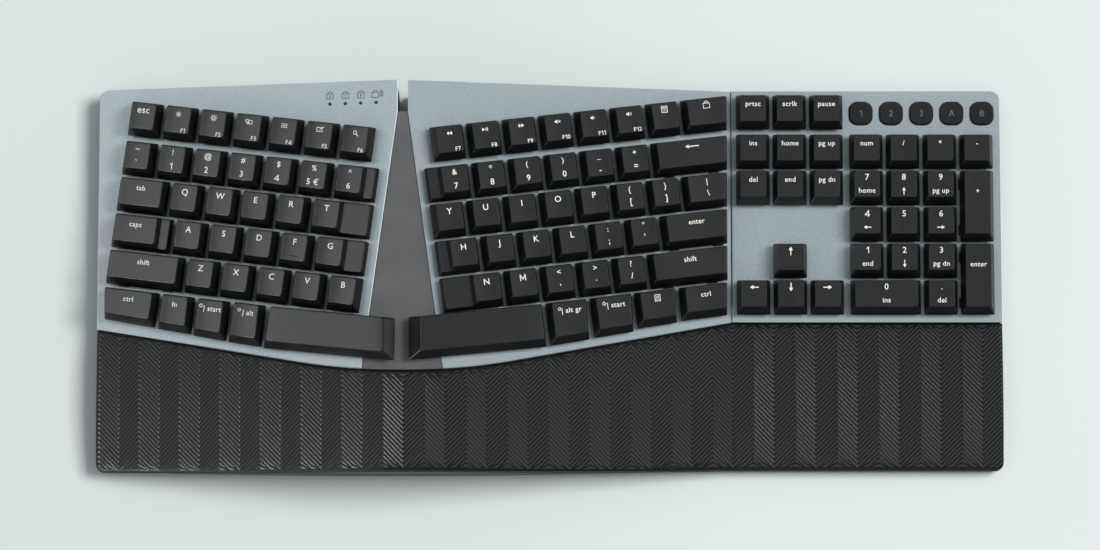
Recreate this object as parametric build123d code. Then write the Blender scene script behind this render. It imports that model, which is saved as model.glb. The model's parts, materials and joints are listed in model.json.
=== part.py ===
from build123d import *
import os
from math import cos, radians, sin, tan

os.makedirs("parts", exist_ok=True)

# A tented, splayed keyboard with low-profile mechanical switches, a number pad and a
# padded palm rest. Millimetres, +X right, +Y to the rear, +Z up. The origin is the middle
# of the footprint on the desk.

# Overall plan: key fields side by side, with these margins and a palm rest before them
key_pitch = 19.05
left_margin = 13.8
left_field_pitches = 7.58
right_field_pitches = 8.94
nav_margin = 1.5
pad_field_gap = 1.6
right_margin = 3.65
key_depth_pitches = 7.853
palm_depth = 51.6
front_left_set_back = 2.2
front_right_set_back = 3.0
rear_corner_radius = 5.0
front_corner_radius = 4.5
corner_radius_least = 1.0
cutter_spare = 20.0

# Tented key planes: the two halves fall away from a crest, the number pad lies level and
# stands a little over the right one where they meet
fold_step = 1.2
tent_angle = 12.0
splay_angle = 8.0
pad_plate_height = 12.0

# Front edge of the plates: a straight run, an arc over the crest, a straight run
seam_radius = 290.0
seam_left_angle = 10.4
seam_right_angle = 11.2
seam_gap = 0.3

# Bridge between the two plates, and the open notch behind it
notch_left_reach = 1.8
notch_right_reach = 3.1
notch_depth = 16.6
bridge_sag = 0.2
bridge_thickness = 1.5
bridge_seat_gap = 0.1
bridge_lap = 10.0
bridge_room_height = 20.0

# Plates and boards
plate_thickness = 1.5
plate_edge_break = 0.4
board_depth = 3.5
board_thickness = 1.6
board_margin = 5.5
board_front_margin = 3.5
board_crest_margin = 4.0
board_fold_margin = 2.5

# Lower case
case_inset = 0.8
case_wall = 2.0
case_floor = 2.0
case_edge_break = 2.0
case_edge_share = 0.7
rubber_foot_height = 1.5
rib_thickness = 2.4
boss_radius = 2.6
boss_hole_radius = 1.25
boss_clearance = 0.4
inner_round_sides = 12
screw_radius = 1.2
screw_head_radius = 2.2
screw_head_height = 1.2
screw_length = 7.0
screw_clearance = 0.1
screw_sink = 0.2
screw_spare_depth = 0.5

# Palm rest
palm_board_depth = 7.4
palm_board_thickness = 2.0
palm_crest_half_width = 20.3
palm_crown = 1.7
palm_rear_rise = 0.2
palm_front_drop = 1.4
palm_crown_shift = 6.0
palm_front_station = 4.0
palm_rear_station = 40.0
palm_pad_inset = 0.3
palm_pad_round = 1.5
palm_pad_seat = 0.2

# Keys
function_row_gap = 1.6
cap_width = 17.45
cap_depth = 18.0
cap_height = 7.0
cap_lift = 3.6
cap_side_inset = 2.17
cap_front_inset = 3.5
cap_rear_inset = 0.9
cap_wall = 1.2
cap_roof = 1.5
cap_dish = 0.5
step_height = 3.3
key_travel = 3.0
space_end_inset = 4.8
homing_bar_length = 3.6
homing_bar_width = 0.7
homing_bar_height = 0.45
homing_bar_margin = 2.2

# Switches: a housing clipped in the plate, a plunger, a peg under the cap
housing_side = 13.6
housing_hole_clearance = 0.1
housing_flange_side = 14.4
housing_flange_height = 0.5
housing_height = 4.6
housing_shoulder_side = 12.6
housing_top_side = 9.6
well_spare_depth = 0.4
plunger_side = 5.8
plunger_clearance = 0.08
plunger_bottom = 0.4
peg_side = 3.6
peg_length = 1.6
peg_clearance = 0.05

# Stabilisers of the long keys
stabiliser_spacing = 11.9
space_stabiliser_spacing = 22.0
stabiliser_width = 5.4
stabiliser_length = 7.0
stabiliser_height = 3.2
stabiliser_ledge = 0.4
stabiliser_tongue = 9.4
stabiliser_stem_width = 3.2
stabiliser_stem_length = 4.6
stem_peg_side = 2.6
wire_diameter = 1.0
wire_drop = 2.95
wire_run = 7.8
wire_bend = 1.5
wire_gap = 0.3
wire_sides = 6

# Key fields: how far each number row's middle line starts from the rear edge, in pitches
left_field_drop = 1.911
right_field_drop = 2.877
nav_field_drop = 1.722
right_field_start = 16.6
right_column_margin = 2.3

# Round-cornered mode buttons and indicator lights
mode_button_side = 12.0
mode_button_corner = 4.4
mode_button_pitch = 15.75
mode_button_side_margin = 41.1
mode_button_rear_margin = 12.0
mode_button_rise = 1.4
mode_button_travel = 0.5
mode_button_clearance = 0.3
mode_button_flange = 0.8
mode_button_flange_gap = 0.05
mode_button_break = 0.5
mode_button_flange_margin = 0.6
tact_switch_side = 5.2
tact_switch_gap = 0.2
light_radius = 0.8
light_clearance = 0.1
light_seat_gap = 0.3
light_stand_out = 0.1
light_pitch = 8.0
light_reach = 37.1
light_rear_margin = 11.6

# Battery, controller and its socket and power switch
battery_size = (62.0, 42.0, 6.5)
battery_reach = 41.9
battery_y = 12.0
battery_edge = 1.2
controller_size = (44.0, 22.0, 1.6)
controller_reach = 32.1
controller_rear_margin = 14.6
controller_height = 8.0
controller_post_radius = 2.0
controller_post_margin = 4.5
socket_width = 8.9
socket_height = 3.3
socket_depth = 7.4
socket_wall = 0.35
socket_shift = -10.0
socket_clearance = 0.3
socket_sink = 0.4
socket_corner = 1.4
socket_tongue = (6.6, 0.7)
slider_shift = 10.0
slider_knob = (3.0, 2.2)
slider_travel = 2.0
slider_base = (6.0, 1.4, 3.0)
slider_clearance = 0.3
switch_body_depth = 3.4
switch_body_width = 10.0
switch_body_height = 4.2
slider_stand_out = 0.8
ribbon_width = 14.0
ribbon_thickness = 0.4
ribbon_lap = 5.0
ribbon_reach = 30.0
ribbon_sag = 3.0
ribbon_y = 20.0

# Fold-out feet
foot_width = 26.0
foot_length = 20.0
foot_thickness = 3.0
foot_pivot_radius = 1.6
foot_pin_radius = 1.0
foot_pin_clearance = 0.05
foot_clearance = 0.5
foot_sink = 0.3
foot_tip_round = 3.0
finger_room = 6.0
foot_pocket_wall = 1.4
foot_pocket_roof = 1.0
foot_side_margin = 34.3
foot_rear_margin = 18.6

# Rubber pads under the case
rubber_length = 24.0
rubber_width = 8.0
rubber_corner = 3.0
rubber_sink = 0.4
rubber_clearance = 0.2
rubber_side_margin = 22.3
rubber_front_margin = 14.6
rubber_rear_margin = 12.6
rubber_left_reach = 60.0
rubber_right_reach = 36.0
rubber_fold_reach = 24.2
rubber_pad_reach = 56.0

# Screw bosses beside the key fields, in pitches from the crest, and between the pad's keys
boss_side_margin = 6.8
boss_side_pitches = 3.18
boss_rear_margin = 7.6
boss_rear_pitches = (-4.72, -0.84, 3.47, 6.62)
boss_front_margin = 12.9
boss_front_pitches = (-3.88, 3.99)
pad_boss_cells = ((1, 0.5), (1, -3.5), (6.08, -1.5))

# Values that follow from the driving dimensions
overall_width = (left_margin + (left_field_pitches + right_field_pitches + 7) * key_pitch
                 + nav_margin + pad_field_gap + right_margin)
half_width = overall_width / 2
tent_rise = tan(radians(tent_angle))
tent_cosine = cos(radians(tent_angle))
crest_height = pad_plate_height - fold_step + right_field_pitches * key_pitch * tent_rise
rear_y = (key_depth_pitches * key_pitch + palm_depth) / 2
front_crest_y = -rear_y
front_left_y = front_crest_y + front_left_set_back
front_right_y = front_crest_y + front_right_set_back
seam_crest_y = front_crest_y + palm_depth
left_field_x = -half_width + left_margin
crest_x = left_field_x + left_field_pitches * key_pitch
fold_x = crest_x + right_field_pitches * key_pitch
nav_field_x = fold_x + nav_margin
right_field_x = crest_x + right_field_start
right_column_edge_x = fold_x - right_column_margin
left_field_y = rear_y - left_field_drop * key_pitch
right_field_y = rear_y - right_field_drop * key_pitch
nav_field_y = rear_y - nav_field_drop * key_pitch
notch_left_x = crest_x - notch_left_reach
notch_right_x = crest_x + notch_right_reach
bridge_rear_y = rear_y - notch_depth
mode_button_middle_x = half_width - mode_button_side_margin
mode_button_y = rear_y - mode_button_rear_margin
light_first_x = crest_x - light_reach
light_y = rear_y - light_rear_margin
battery_middle = (crest_x - battery_reach, battery_y)
controller_middle = (crest_x + controller_reach, rear_y - controller_rear_margin)
socket_x = controller_middle[0] + socket_shift
slider_x = controller_middle[0] + slider_shift
foot_positions = [(side * (half_width - foot_side_margin), rear_y - foot_rear_margin) for side in (-1, 1)]
rubber_front_y = front_crest_y + rubber_front_margin
rubber_rear_y = rear_y - rubber_rear_margin
rubber_side_x = half_width - rubber_side_margin
rubber_front_xs = (-rubber_side_x, crest_x, fold_x - rubber_fold_reach, rubber_side_x)
rubber_rear_xs = (crest_x - rubber_left_reach, crest_x + rubber_right_reach, fold_x + rubber_pad_reach)
rubber_positions = [(x, rubber_front_y) for x in rubber_front_xs]
rubber_positions += [(x, rubber_rear_y) for x in rubber_rear_xs]
boss_rear_y = rear_y - boss_rear_margin
boss_front_y = seam_crest_y + boss_front_margin
boss_positions = [(-half_width + boss_side_margin, rear_y - boss_side_pitches * key_pitch)]
boss_positions += [(crest_x + step * key_pitch, boss_rear_y) for step in boss_rear_pitches]
boss_positions += [(crest_x + step * key_pitch, boss_front_y) for step in boss_front_pitches]
column_lean = tan(radians(splay_angle)) * tent_cosine
column_drift = sin(radians(splay_angle))
work_height = crest_height + cutter_spare
far = half_width + cutter_spare
tact_switch_height = board_depth - plate_thickness - mode_button_flange - mode_button_travel - tact_switch_gap
floor_top = rubber_foot_height + case_floor
housing_hole_side = housing_side + 2 * housing_hole_clearance
plunger_hole_side = plunger_side + 2 * plunger_clearance
inner_height = cap_height - cap_roof
plunger_top = cap_lift + inner_height
row_step = {"f": 1 + function_row_gap / key_pitch, "number": 0, "q": -1, "a": -2, "z": -3, "b": -4}


def save(node, solids):
    """Write one node's solids to its own file."""
    pieces = []
    for item in solids:
        pieces.extend(item.solids())
    shape = pieces[0] if len(pieces) == 1 else Compound(children=pieces)
    shape.label = node
    export_step(shape, f"parts/{node}.step")


def surface(x):
    """Height of the plates' top face over a point of the plan."""
    if x > fold_x:
        return pad_plate_height
    return crest_height - abs(x - crest_x) * tent_rise


def plane_frame(x, y, side):
    """Frame on a plate's top face, turned with its key rows: side is -1 left, 1 right."""
    return Pos(x, y, surface(x)) * Rot(0, side * tent_angle, 0) * Rot(0, 0, side * splay_angle)


left_frame = plane_frame(left_field_x, left_field_y, -1)
right_frame = plane_frame(right_field_x, right_field_y, 1)
nav_frame = Pos(nav_field_x, nav_field_y, pad_plate_height)
pad_frame = Pos(nav_field_x + 3 * key_pitch + pad_field_gap, nav_field_y, pad_plate_height)


def prism(face, bottom=0.0, top=work_height):
    """Stand a plan outline up between two heights."""
    return extrude(Pos(0, 0, bottom) * face, top - bottom)


def polygon(points):
    """A flat face through corner points."""
    return make_face(Polyline(*points, close=True))


def inner_bar(radius, height):
    """An upright bar with few sides, for what repeats inside the case and under it."""
    return extrude(RegularPolygon(radius, inner_round_sides), height)


def side_profile(points):
    """Carry an X-Z outline through the whole depth of the case."""
    reach = rear_y + cutter_spare
    corners = [(x, -reach, z) for x, z in points]
    return extrude(make_face(Polyline(*corners, close=True)), 2 * reach, dir=(0, 1, 0))


def centred_box(x0, x1, y0, y1, z0, z1):
    """A box between six limits."""
    return Pos((x0 + x1) / 2, (y0 + y1) / 2, (z0 + z1) / 2) * Box(x1 - x0, y1 - y0, z1 - z0)


def footprint_face(inset=0.0):
    """The whole plan: straight rear and sides, a front edge that bows out at the crest."""
    side = half_width - inset
    rear = rear_y - inset
    front_left = front_left_y + inset
    front_right = front_right_y + inset
    edges = Polyline((-side, front_left), (-side, rear), (side, rear), (side, front_right),
                     (fold_x, front_right))
    bow = ThreePointArc((fold_x, front_right), (crest_x, front_crest_y + inset), (-side, front_left))
    face = make_face(edges + bow)
    rear_corners = face.vertices().filter_by(lambda v: v.Y > rear - 1)
    face = fillet(rear_corners, max(rear_corner_radius - inset, corner_radius_least))
    front_corners = face.vertices().filter_by(lambda v: v.Y < front_right + 1 and abs(v.X) > side - 1)
    return fillet(front_corners, max(front_corner_radius - inset, corner_radius_least))


def palm_zone(shift=0.0):
    """Everything in front of the seam between plates and palm rest."""
    middle = seam_crest_y + seam_radius
    bend_left = radians(seam_left_angle)
    bend_right = radians(seam_right_angle)
    arc_left = (crest_x - seam_radius * sin(bend_left), middle - seam_radius * cos(bend_left))
    arc_right = (crest_x + seam_radius * sin(bend_right), middle - seam_radius * cos(bend_right))
    left_end = (-far, arc_left[1] + (arc_left[0] + far) * tan(bend_left))
    fold_end = (fold_x, arc_right[1] + (fold_x - arc_right[0]) * tan(bend_right))
    front = front_crest_y - cutter_spare
    runs = Polyline(arc_left, left_end, (-far, front), (far, front), (far, fold_end[1]), fold_end, arc_right)
    arc = ThreePointArc(arc_right, (crest_x, seam_crest_y), arc_left)
    return prism(Pos(0, shift, 0) * make_face(runs + arc), -10)


def bridge_zone(clearance=0.0):
    """The strip between the two plates, with the notch behind it."""
    reach = bridge_rear_y - front_crest_y
    left = notch_left_x - clearance
    right = notch_right_x + clearance
    rear = rear_y + cutter_spare
    points = [(left, rear), (right, rear), (right, bridge_rear_y),
              (right + reach * column_lean, front_crest_y),
              (left - reach * column_lean, front_crest_y), (left, bridge_rear_y)]
    return prism(polygon(points), -10)


def under_plates(depth):
    """The space under the plates' top face, from a depth below it down to the desk."""
    drop = depth / tent_cosine
    left = surface(-far) - drop
    right = surface(fold_x) - drop
    top = [(-far, left), (crest_x, crest_height - drop), (fold_x, right),
           (fold_x, pad_plate_height - depth), (far, pad_plate_height - depth)]
    return side_profile(top + [(far, -5), (-far, -5)])


def palm_top_points(rise):
    """Corner points of the palm rest's rounded tent at a height over the plates' plane."""
    left_edge = crest_x - palm_crest_half_width
    right_edge = crest_x + palm_crest_half_width
    crest_sagitta = palm_crest_half_width * tan(radians(tent_angle / 2))
    return {
        "outer_left": (-far, surface(-far) + rise),
        "arc_left": (left_edge, surface(left_edge) + rise),
        "arc_top": (crest_x, surface(left_edge) + rise + crest_sagitta),
        "arc_right": (right_edge, surface(right_edge) + rise),
        "fold": (fold_x, pad_plate_height + rise),
        "outer_right": (far, pad_plate_height + rise),
    }


def palm_section(y, rise, bottom):
    """A closed X-Z section of the palm rest at one depth."""
    at = {name: (x, y, z) for name, (x, z) in palm_top_points(rise).items()}
    low = {name: (x, y, z) for name, (x, z) in palm_top_points(bottom).items()}
    top = [Line(at["outer_left"], at["arc_left"]),
           ThreePointArc(at["arc_left"], at["arc_top"], at["arc_right"]),
           Line(at["arc_right"], at["fold"]), Line(at["fold"], at["outer_right"])]
    base = [Line(at["outer_right"], low["outer_right"]), Line(low["outer_right"], low["fold"]),
            Line(low["fold"], low["arc_right"]),
            ThreePointArc(low["arc_right"], low["arc_top"], low["arc_left"]),
            Line(low["arc_left"], low["outer_left"]), Line(low["outer_left"], at["outer_left"])]
    return make_face(Curve() + top + base)


def palm_slab(rise, bottom):
    """A slab that follows the palm rest's rounded tent, full depth."""
    start = front_crest_y - cutter_spare
    return extrude(palm_section(start, rise, bottom), rear_y - start, dir=(0, 1, 0))


def box_hole(frame, u, v, width, depth, low, high, turn=0.0):
    """A square prism standing in a key frame."""
    return frame * Pos(u, v, (low + high) / 2) * Rot(0, 0, turn) * Box(width, depth, high - low)


# Key outlines, in the frame of their key field
def key_cell(left, right, row):
    """Skirt corners of a key between two columns: rear left, rear right, front right, front left."""
    gap_u = (key_pitch - cap_width) / 2
    gap_v = (key_pitch - cap_depth) / 2
    rear = (row + 0.5) * key_pitch - gap_v
    front = (row - 0.5) * key_pitch + gap_v
    u0 = left * key_pitch + gap_u
    if right is None:
        return [(u0, rear), (edge_column(rear), rear), (edge_column(front), front), (u0, front)]
    u1 = right * key_pitch - gap_u
    return [(u0, rear), (u1, rear), (u1, front), (u0, front)]


def edge_column(v):
    """Where the straight right-hand edge of the right key field crosses a row line."""
    reach = right_column_edge_x - right_field_x - cap_lift * sin(radians(tent_angle))
    return (reach + v * column_drift * tent_cosine) / (cos(radians(splay_angle)) * tent_cosine)


def inset_outline(points, insets):
    """Move each side of a clockwise outline inwards by its own amount."""
    lines = []
    for index, (x0, y0) in enumerate(points):
        x1, y1 = points[(index + 1) % len(points)]
        length = ((x1 - x0) ** 2 + (y1 - y0) ** 2) ** 0.5
        nx, ny = (y1 - y0) / length, -(x1 - x0) / length
        lines.append((nx, ny, nx * x0 + ny * y0 + insets[index]))
    corners = []
    for index in range(len(points)):
        a, b, c = lines[index - 1]
        d, e, f = lines[index]
        det = a * e - b * d
        corners.append(((c * e - b * f) / det, (a * f - c * d) / det))
    return corners


def tapered(points, insets, low, high, share=1.0):
    """A solid that draws in from its outline at the bottom to an inset one at the top."""
    top = inset_outline(points, [value * share for value in insets])
    lower = [(x, y, low) for x, y in points]
    upper = [(x, y, high) for x, y in top]
    sides = []
    for index in range(len(points)):
        after = (index + 1) % len(points)
        sides.append(polygon([lower[index], lower[after], upper[after], upper[index]]))
    return Solid(Shell([polygon(lower), polygon(upper)] + sides))


def cap_insets(end=None):
    """Draws of the rear, right, front and left sides, in the outline's order."""
    insets = [cap_rear_inset, cap_side_inset, cap_front_inset, cap_side_inset]
    if end == "right":
        insets[1] = space_end_inset
    if end == "left":
        insets[3] = space_end_inset
    return insets


def middle(points):
    """Middle of an outline's extents."""
    us = [p[0] for p in points]
    vs = [p[1] for p in points]
    return (min(us) + max(us)) / 2, (min(vs) + max(vs)) / 2


def cap_body(points, insets, dish):
    """The outside of a full-height keycap, with its dished top."""
    body = tapered(points, insets, cap_lift, cap_lift + cap_height)
    if not dish:
        return body
    top = inset_outline(points, insets)
    u, v = middle(top)
    span = max(p[0] for p in top) - min(p[0] for p in top)
    radius = span ** 2 / (8 * cap_dish)
    cutter = Pos(u, v, cap_lift + cap_height + radius - cap_dish) * Rot(90, 0, 0)
    return body - cutter * Cylinder(radius, 3 * key_pitch)


def cap_room(points, insets, depth):
    """The room under a keycap's roof, a wall's thickness in from its skirt."""
    inner = inset_outline(points, [cap_wall] * len(points))
    return tapered(inner, insets, cap_lift, cap_lift + depth, depth / cap_height)


def keycap(points, pegs, step=None, end=None, dish=True, homing=False):
    """A keycap with pegs for its plunger and stabiliser stems, and a lower step if it has one."""
    insets = cap_insets(end)
    if step is None:
        cap = cap_body(points, insets, dish) - cap_room(points, insets, inner_height)
    else:
        side, width = step
        main = list(points)
        edge = (1, 2) if side == "right" else (0, 3)
        shift = -width if side == "right" else width
        for corner in edge:
            main[corner] = (points[corner][0] + shift, points[corner][1])
        low = tapered(points, insets, cap_lift, cap_lift + step_height, step_height / cap_height)
        low -= cap_room(points, insets, step_height - cap_roof)
        cap = (low + cap_body(main, insets, dish)) - cap_room(main, insets, inner_height)
    for u, v, side in pegs:
        cap += Pos(u, v, plunger_top - peg_length / 2) * Box(side, side, peg_length)
    if homing:
        u, v = middle(points)
        front = min(p[1] for p in points) + cap_front_inset + homing_bar_margin
        bar_z = cap_lift + cap_height - cap_dish
        cap += Pos(u, front, bar_z) * Box(homing_bar_length, homing_bar_width, 2 * homing_bar_height)
    return cap


def plunger():
    """The switch's moving plunger, with a socket for the cap's peg."""
    height = plunger_top - peg_clearance - plunger_bottom
    body = Pos(0, 0, plunger_bottom + height / 2) * Box(plunger_side, plunger_side, height)
    recess_side = peg_side + 2 * peg_clearance
    recess_depth = peg_length + peg_clearance
    recess = Pos(0, 0, plunger_bottom + height - recess_depth / 2)
    return body - recess * Box(recess_side, recess_side, recess_depth)


def switch_housing():
    """The fixed switch housing, with a guide well for the plunger."""
    lower = Pos(0, 0, -board_depth / 2) * Box(housing_side, housing_side, board_depth)
    flange = Pos(0, 0, housing_flange_height / 2) * Box(
        housing_flange_side, housing_flange_side, housing_flange_height)
    half_low = housing_shoulder_side / 2
    half_top = housing_top_side / 2
    low = [(-half_low, half_low), (half_low, half_low), (half_low, -half_low), (-half_low, -half_low)]
    upper = tapered(low, [half_low - half_top] * 4, housing_flange_height, housing_height)
    return lower + flange + upper - well(plunger_hole_side, plunger_hole_side, housing_height)


def well(width, length, top):
    """The well that a plunger or stem runs in, open at the top and closed below its travel."""
    bottom = plunger_bottom - key_travel - well_spare_depth
    return Pos(0, 0, (top + 1 + bottom) / 2) * Box(width, length, top + 1 - bottom)


def stabiliser_housing(turn):
    """A guide beside the switch of a long key; turn is 90 where the key stands upright."""
    block = Pos(0, 0, stabiliser_height / 2) * Box(stabiliser_width, stabiliser_length, stabiliser_height)
    tongue_middle = (stabiliser_length / 2 - stabiliser_tongue) / 2
    tongue = Pos(0, tongue_middle, housing_flange_height / 2)
    tongue = tongue * Box(stabiliser_width, stabiliser_length / 2 + stabiliser_tongue, housing_flange_height)
    lower = Pos(0, 0, -board_depth / 2) * Box(
        stabiliser_width - stabiliser_ledge, stabiliser_length - stabiliser_ledge, board_depth)
    stem_room = well(stabiliser_stem_width + 2 * plunger_clearance,
                     stabiliser_stem_length + 2 * plunger_clearance, stabiliser_height)
    return Rot(0, 0, turn) * (block + tongue + lower - stem_room)


def stabiliser_stem(turn):
    """The stem that runs in a stabiliser guide and meets the cap's roof."""
    height = plunger_top - plunger_bottom - peg_length
    stem = Pos(0, 0, plunger_bottom + height / 2) * Box(stabiliser_stem_width, stabiliser_stem_length, height)
    return Rot(0, 0, turn) * stem


def stabiliser_wire(spacing, turn):
    """The bent wire that joins two stems, lying under the plate beside the guides."""
    z = -wire_drop
    start_v = -stabiliser_length / 2 - wire_gap
    path = FilletPolyline((-spacing, start_v, z), (-spacing, -wire_run, z),
                          (spacing, -wire_run, z), (spacing, start_v, z), radius=wire_bend)
    start = Plane(origin=path @ 0, z_dir=path % 0)
    return Rot(0, 0, turn) * sweep(start * RegularPolygon(wire_diameter / 2, wire_sides), path)


# The keys of each row. A key is its left and right column and what is special about it.
def row_keys(start, widths, specials=None):
    """Lay keys side by side; specials maps a key's place in the row to its features."""
    keys = []
    left = start
    for index, width in enumerate(widths):
        right = None if width is None else left + width
        feature = dict((specials or {}).get(index, {}))
        keys.append((left, right, feature))
        left = right
    return keys


quarter = 0.25 * key_pitch
half = 0.5 * key_pitch
right_start = -0.28
right_overhang = -right_start * key_pitch

left_rows = {
    "f": row_keys(0, [1] * 7),
    "number": row_keys(0, [1] * 6 + [1.25], {6: {"step": ("right", quarter)}}),
    "q": row_keys(0, [1.5, 1, 1, 1, 1, 1.75], {5: {"step": ("right", 3 * quarter)}}),
    "a": row_keys(0, [1.75, 1, 1, 1, 1, 1.5],
                  {0: {"step": ("right", quarter)}, 4: {"homing": True}, 5: {"step": ("right", half)}}),
    "z": row_keys(2.25, [1] * 5),
}
right_rows = {
    "f": row_keys(0, [1] * 7 + [None]),
    "number": row_keys(right_start, [1 - right_start, 1, 1, 1, 1, 1],
                       {0: {"step": ("left", right_overhang)}}),
    "q": row_keys(right_start, [1] * 7 + [None]),
    "a": row_keys(right_start, [1.25, 1, 1, 1, 1, 1], {0: {"step": ("left", quarter)}, 1: {"homing": True}}),
    "z": row_keys(right_start, [1.75, 1, 1, 1, 1], {0: {"step": ("left", 3 * quarter)}}),
}
nav_rows = {
    "nav_top_keys": [("f", row_keys(0, [1] * 3))],
    "nav_block_keys": [("number", row_keys(0, [1] * 3)), ("q", row_keys(0, [1] * 3))],
    "arrow_keys": [("z", row_keys(1, [1])), ("b", row_keys(0, [1] * 3))],
}
pad_rows = {
    "pad_first_row_keys": ("number", row_keys(0, [1] * 4)),
    "pad_second_row_keys": ("q", row_keys(0, [1] * 3)),
    "pad_third_row_keys": ("a", row_keys(0, [1] * 3, {1: {"homing": True}})),
    "pad_fourth_row_keys": ("z", row_keys(0, [1] * 3)),
}

# Long keys that move on their own: row, left and right column
left_long_keys = {"left_shift_key": ("z", 0, 2.25)}
right_long_keys = {
    "backspace_key": ("number", 6, None),
    "enter_key": ("a", 5.97, None),
    "right_shift_key": ("z", 5.47, None),
}

# The bottom rows follow the curve of the palm rest, so their skirts are set corner by corner:
# columns and rows in key pitches, rear left, rear right, front right, front left
left_bottom_caps = (
    ((0.03, -3.56), (1.62, -3.56), (1.62, -4.51), (0.16, -4.44)),
    ((1.70, -3.56), (2.62, -3.56), (2.66, -4.57), (1.70, -4.53)),
    ((2.71, -3.56), (3.62, -3.56), (3.66, -4.64), (2.71, -4.59)),
    ((3.72, -3.55), (4.62, -3.55), (4.66, -4.68), (3.71, -4.65)),
)
right_bottom_caps = (
    ((2.55, -3.52), (3.69, -3.52), (3.64, -4.63), (2.53, -4.68)),
    ((3.77, -3.52), (4.95, -3.52), (4.88, -4.56), (3.77, -4.61)),
    ((5.01, -3.52), (6.19, -3.52), (6.11, -4.46), (4.99, -4.50)),
    ((6.27, -3.52), (7.66, -3.52), (7.53, -4.42), (6.23, -4.43)),
)
left_space_cap = ((4.74, -3.55), (8.21, -3.48), (8.36, -4.61), (4.71, -4.70))
right_space_cap = ((-1.21, -3.46), (2.46, -3.52), (2.44, -4.69), (-1.36, -4.60))


def pitches(points):
    """Skirt corners in millimetres."""
    return [(u * key_pitch, v * key_pitch) for u, v in points]


class KeyField:
    """Collects what a key field puts in its plate: switch and stabiliser places."""

    def __init__(self, frame):
        self.frame = frame
        self.switches = []
        self.stabilisers = []
        self.wires = []
        self.cache = {}

    def key(self, points, feature):
        """A keycap and its plunger in place, and its switch noted."""
        step = feature.get("step")
        u, v = middle(points)
        v = (points[0][1] + points[3][1]) / 2 if not feature.get("upright") else v
        if step:
            u += -step[1] / 2 if step[0] == "right" else step[1] / 2
        pegs = [(0.0, 0.0, peg_side)]
        stems = []
        spacing = feature.get("stabilised")
        turn = feature.get("turn", 90 if feature.get("upright") else 0)
        if spacing:
            for side in (-1, 1):
                place = (0, side * spacing) if turn == 90 else (side * spacing, 0)
                pegs.append((place[0], place[1], stem_peg_side))
                stems.append(Pos(place[0], place[1], 0) * stabiliser_stem(turn))
                self.stabilisers.append((u + place[0], v + place[1], turn))
            self.wires.append((u, v, spacing, turn))
        local = tuple((round(a - u, 4), round(b - v, 4)) for a, b in points)
        name = (local, step, feature.get("end"), feature.get("homing"))
        if name not in self.cache:
            self.cache[name] = keycap(local, pegs, step, feature.get("end"),
                                      feature.get("dish", True), feature.get("homing", False))
        self.switches.append((u, v))
        here = self.frame * Pos(u, v, 0)
        return [here * self.cache[name], here * plunger_part] + [here * stem for stem in stems]

    def row(self, row, keys):
        """All caps and plungers of one row."""
        pieces = []
        for left, right, feature in keys:
            pieces += self.key(key_cell(left, right, row_step[row]), feature)
        return pieces

    def housings(self):
        """Switch housings at every noted place."""
        return [self.frame * Pos(u, v, 0) * housing_part for u, v in self.switches]

    def guide_holes(self):
        """Openings for the stabiliser guides."""
        width = stabiliser_width - stabiliser_ledge / 2
        length = stabiliser_length - stabiliser_ledge / 2
        return [box_hole(self.frame, u, v, width, length, -4, 4, turn) for u, v, turn in self.stabilisers]

    def holes(self):
        """Square openings in the plate for the switches and stabilisers."""
        side = housing_hole_side
        return [box_hole(self.frame, u, v, side, side, -4, 4) for u, v in self.switches] + self.guide_holes()

    def guides(self):
        """Stabiliser guides at every noted place."""
        return [self.frame * Pos(u, v, 0) * stabiliser_housing(turn) for u, v, turn in self.stabilisers]

    def bent_wires(self):
        """Stabiliser wires of the long keys."""
        return [self.frame * Pos(u, v, 0) * stabiliser_wire(spacing, turn)
                for u, v, spacing, turn in self.wires]


plunger_part = plunger()
housing_part = switch_housing()
left_field = KeyField(left_frame)
right_field = KeyField(right_frame)
nav_field = KeyField(nav_frame)
pad_field = KeyField(pad_frame)
long_key = {"stabilised": stabiliser_spacing}
upright_key = {"stabilised": stabiliser_spacing, "upright": True}


def build_keys():
    """Every key, by the node that carries it."""
    nodes = {}
    for row, keys in left_rows.items():
        nodes[f"left_{row}_row_keys"] = left_field.row(row, keys)
    for row, keys in right_rows.items():
        nodes[f"right_{row}_row_keys"] = right_field.row(row, keys)
    for name, (row, left, right) in left_long_keys.items():
        nodes[name] = left_field.key(key_cell(left, right, row_step[row]), long_key)
    for name, (row, left, right) in right_long_keys.items():
        nodes[name] = right_field.key(key_cell(left, right, row_step[row]), long_key)
    nodes["left_bottom_row_keys"] = []
    for points in left_bottom_caps:
        nodes["left_bottom_row_keys"] += left_field.key(pitches(points), {})
    nodes["right_bottom_row_keys"] = []
    for points in right_bottom_caps:
        nodes["right_bottom_row_keys"] += right_field.key(pitches(points), {})
    space = {"stabilised": space_stabiliser_spacing, "dish": False, "turn": 180}
    nodes["left_space_bar"] = left_field.key(pitches(left_space_cap), {**space, "end": "right"})
    nodes["right_space_bar"] = right_field.key(pitches(right_space_cap), {**space, "end": "left"})
    for name, rows in nav_rows.items():
        nodes[name] = [piece for row, keys in rows for piece in nav_field.row(row, keys)]
    for name, (row, keys) in pad_rows.items():
        nodes[name] = pad_field.row(row, keys)
    nodes["pad_last_row_keys"] = pad_field.key(key_cell(0, 2, row_step["b"]), long_key)
    nodes["pad_last_row_keys"] += pad_field.row("b", row_keys(2, [1]))
    for name, rear_row in (("pad_plus_key", "q"), ("pad_enter_key", "z")):
        rear = key_cell(3, 4, row_step[rear_row])
        front = key_cell(3, 4, row_step[rear_row] - 1)
        nodes[name] = pad_field.key([rear[0], rear[1], front[2], front[3]], upright_key)
    return nodes


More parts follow.
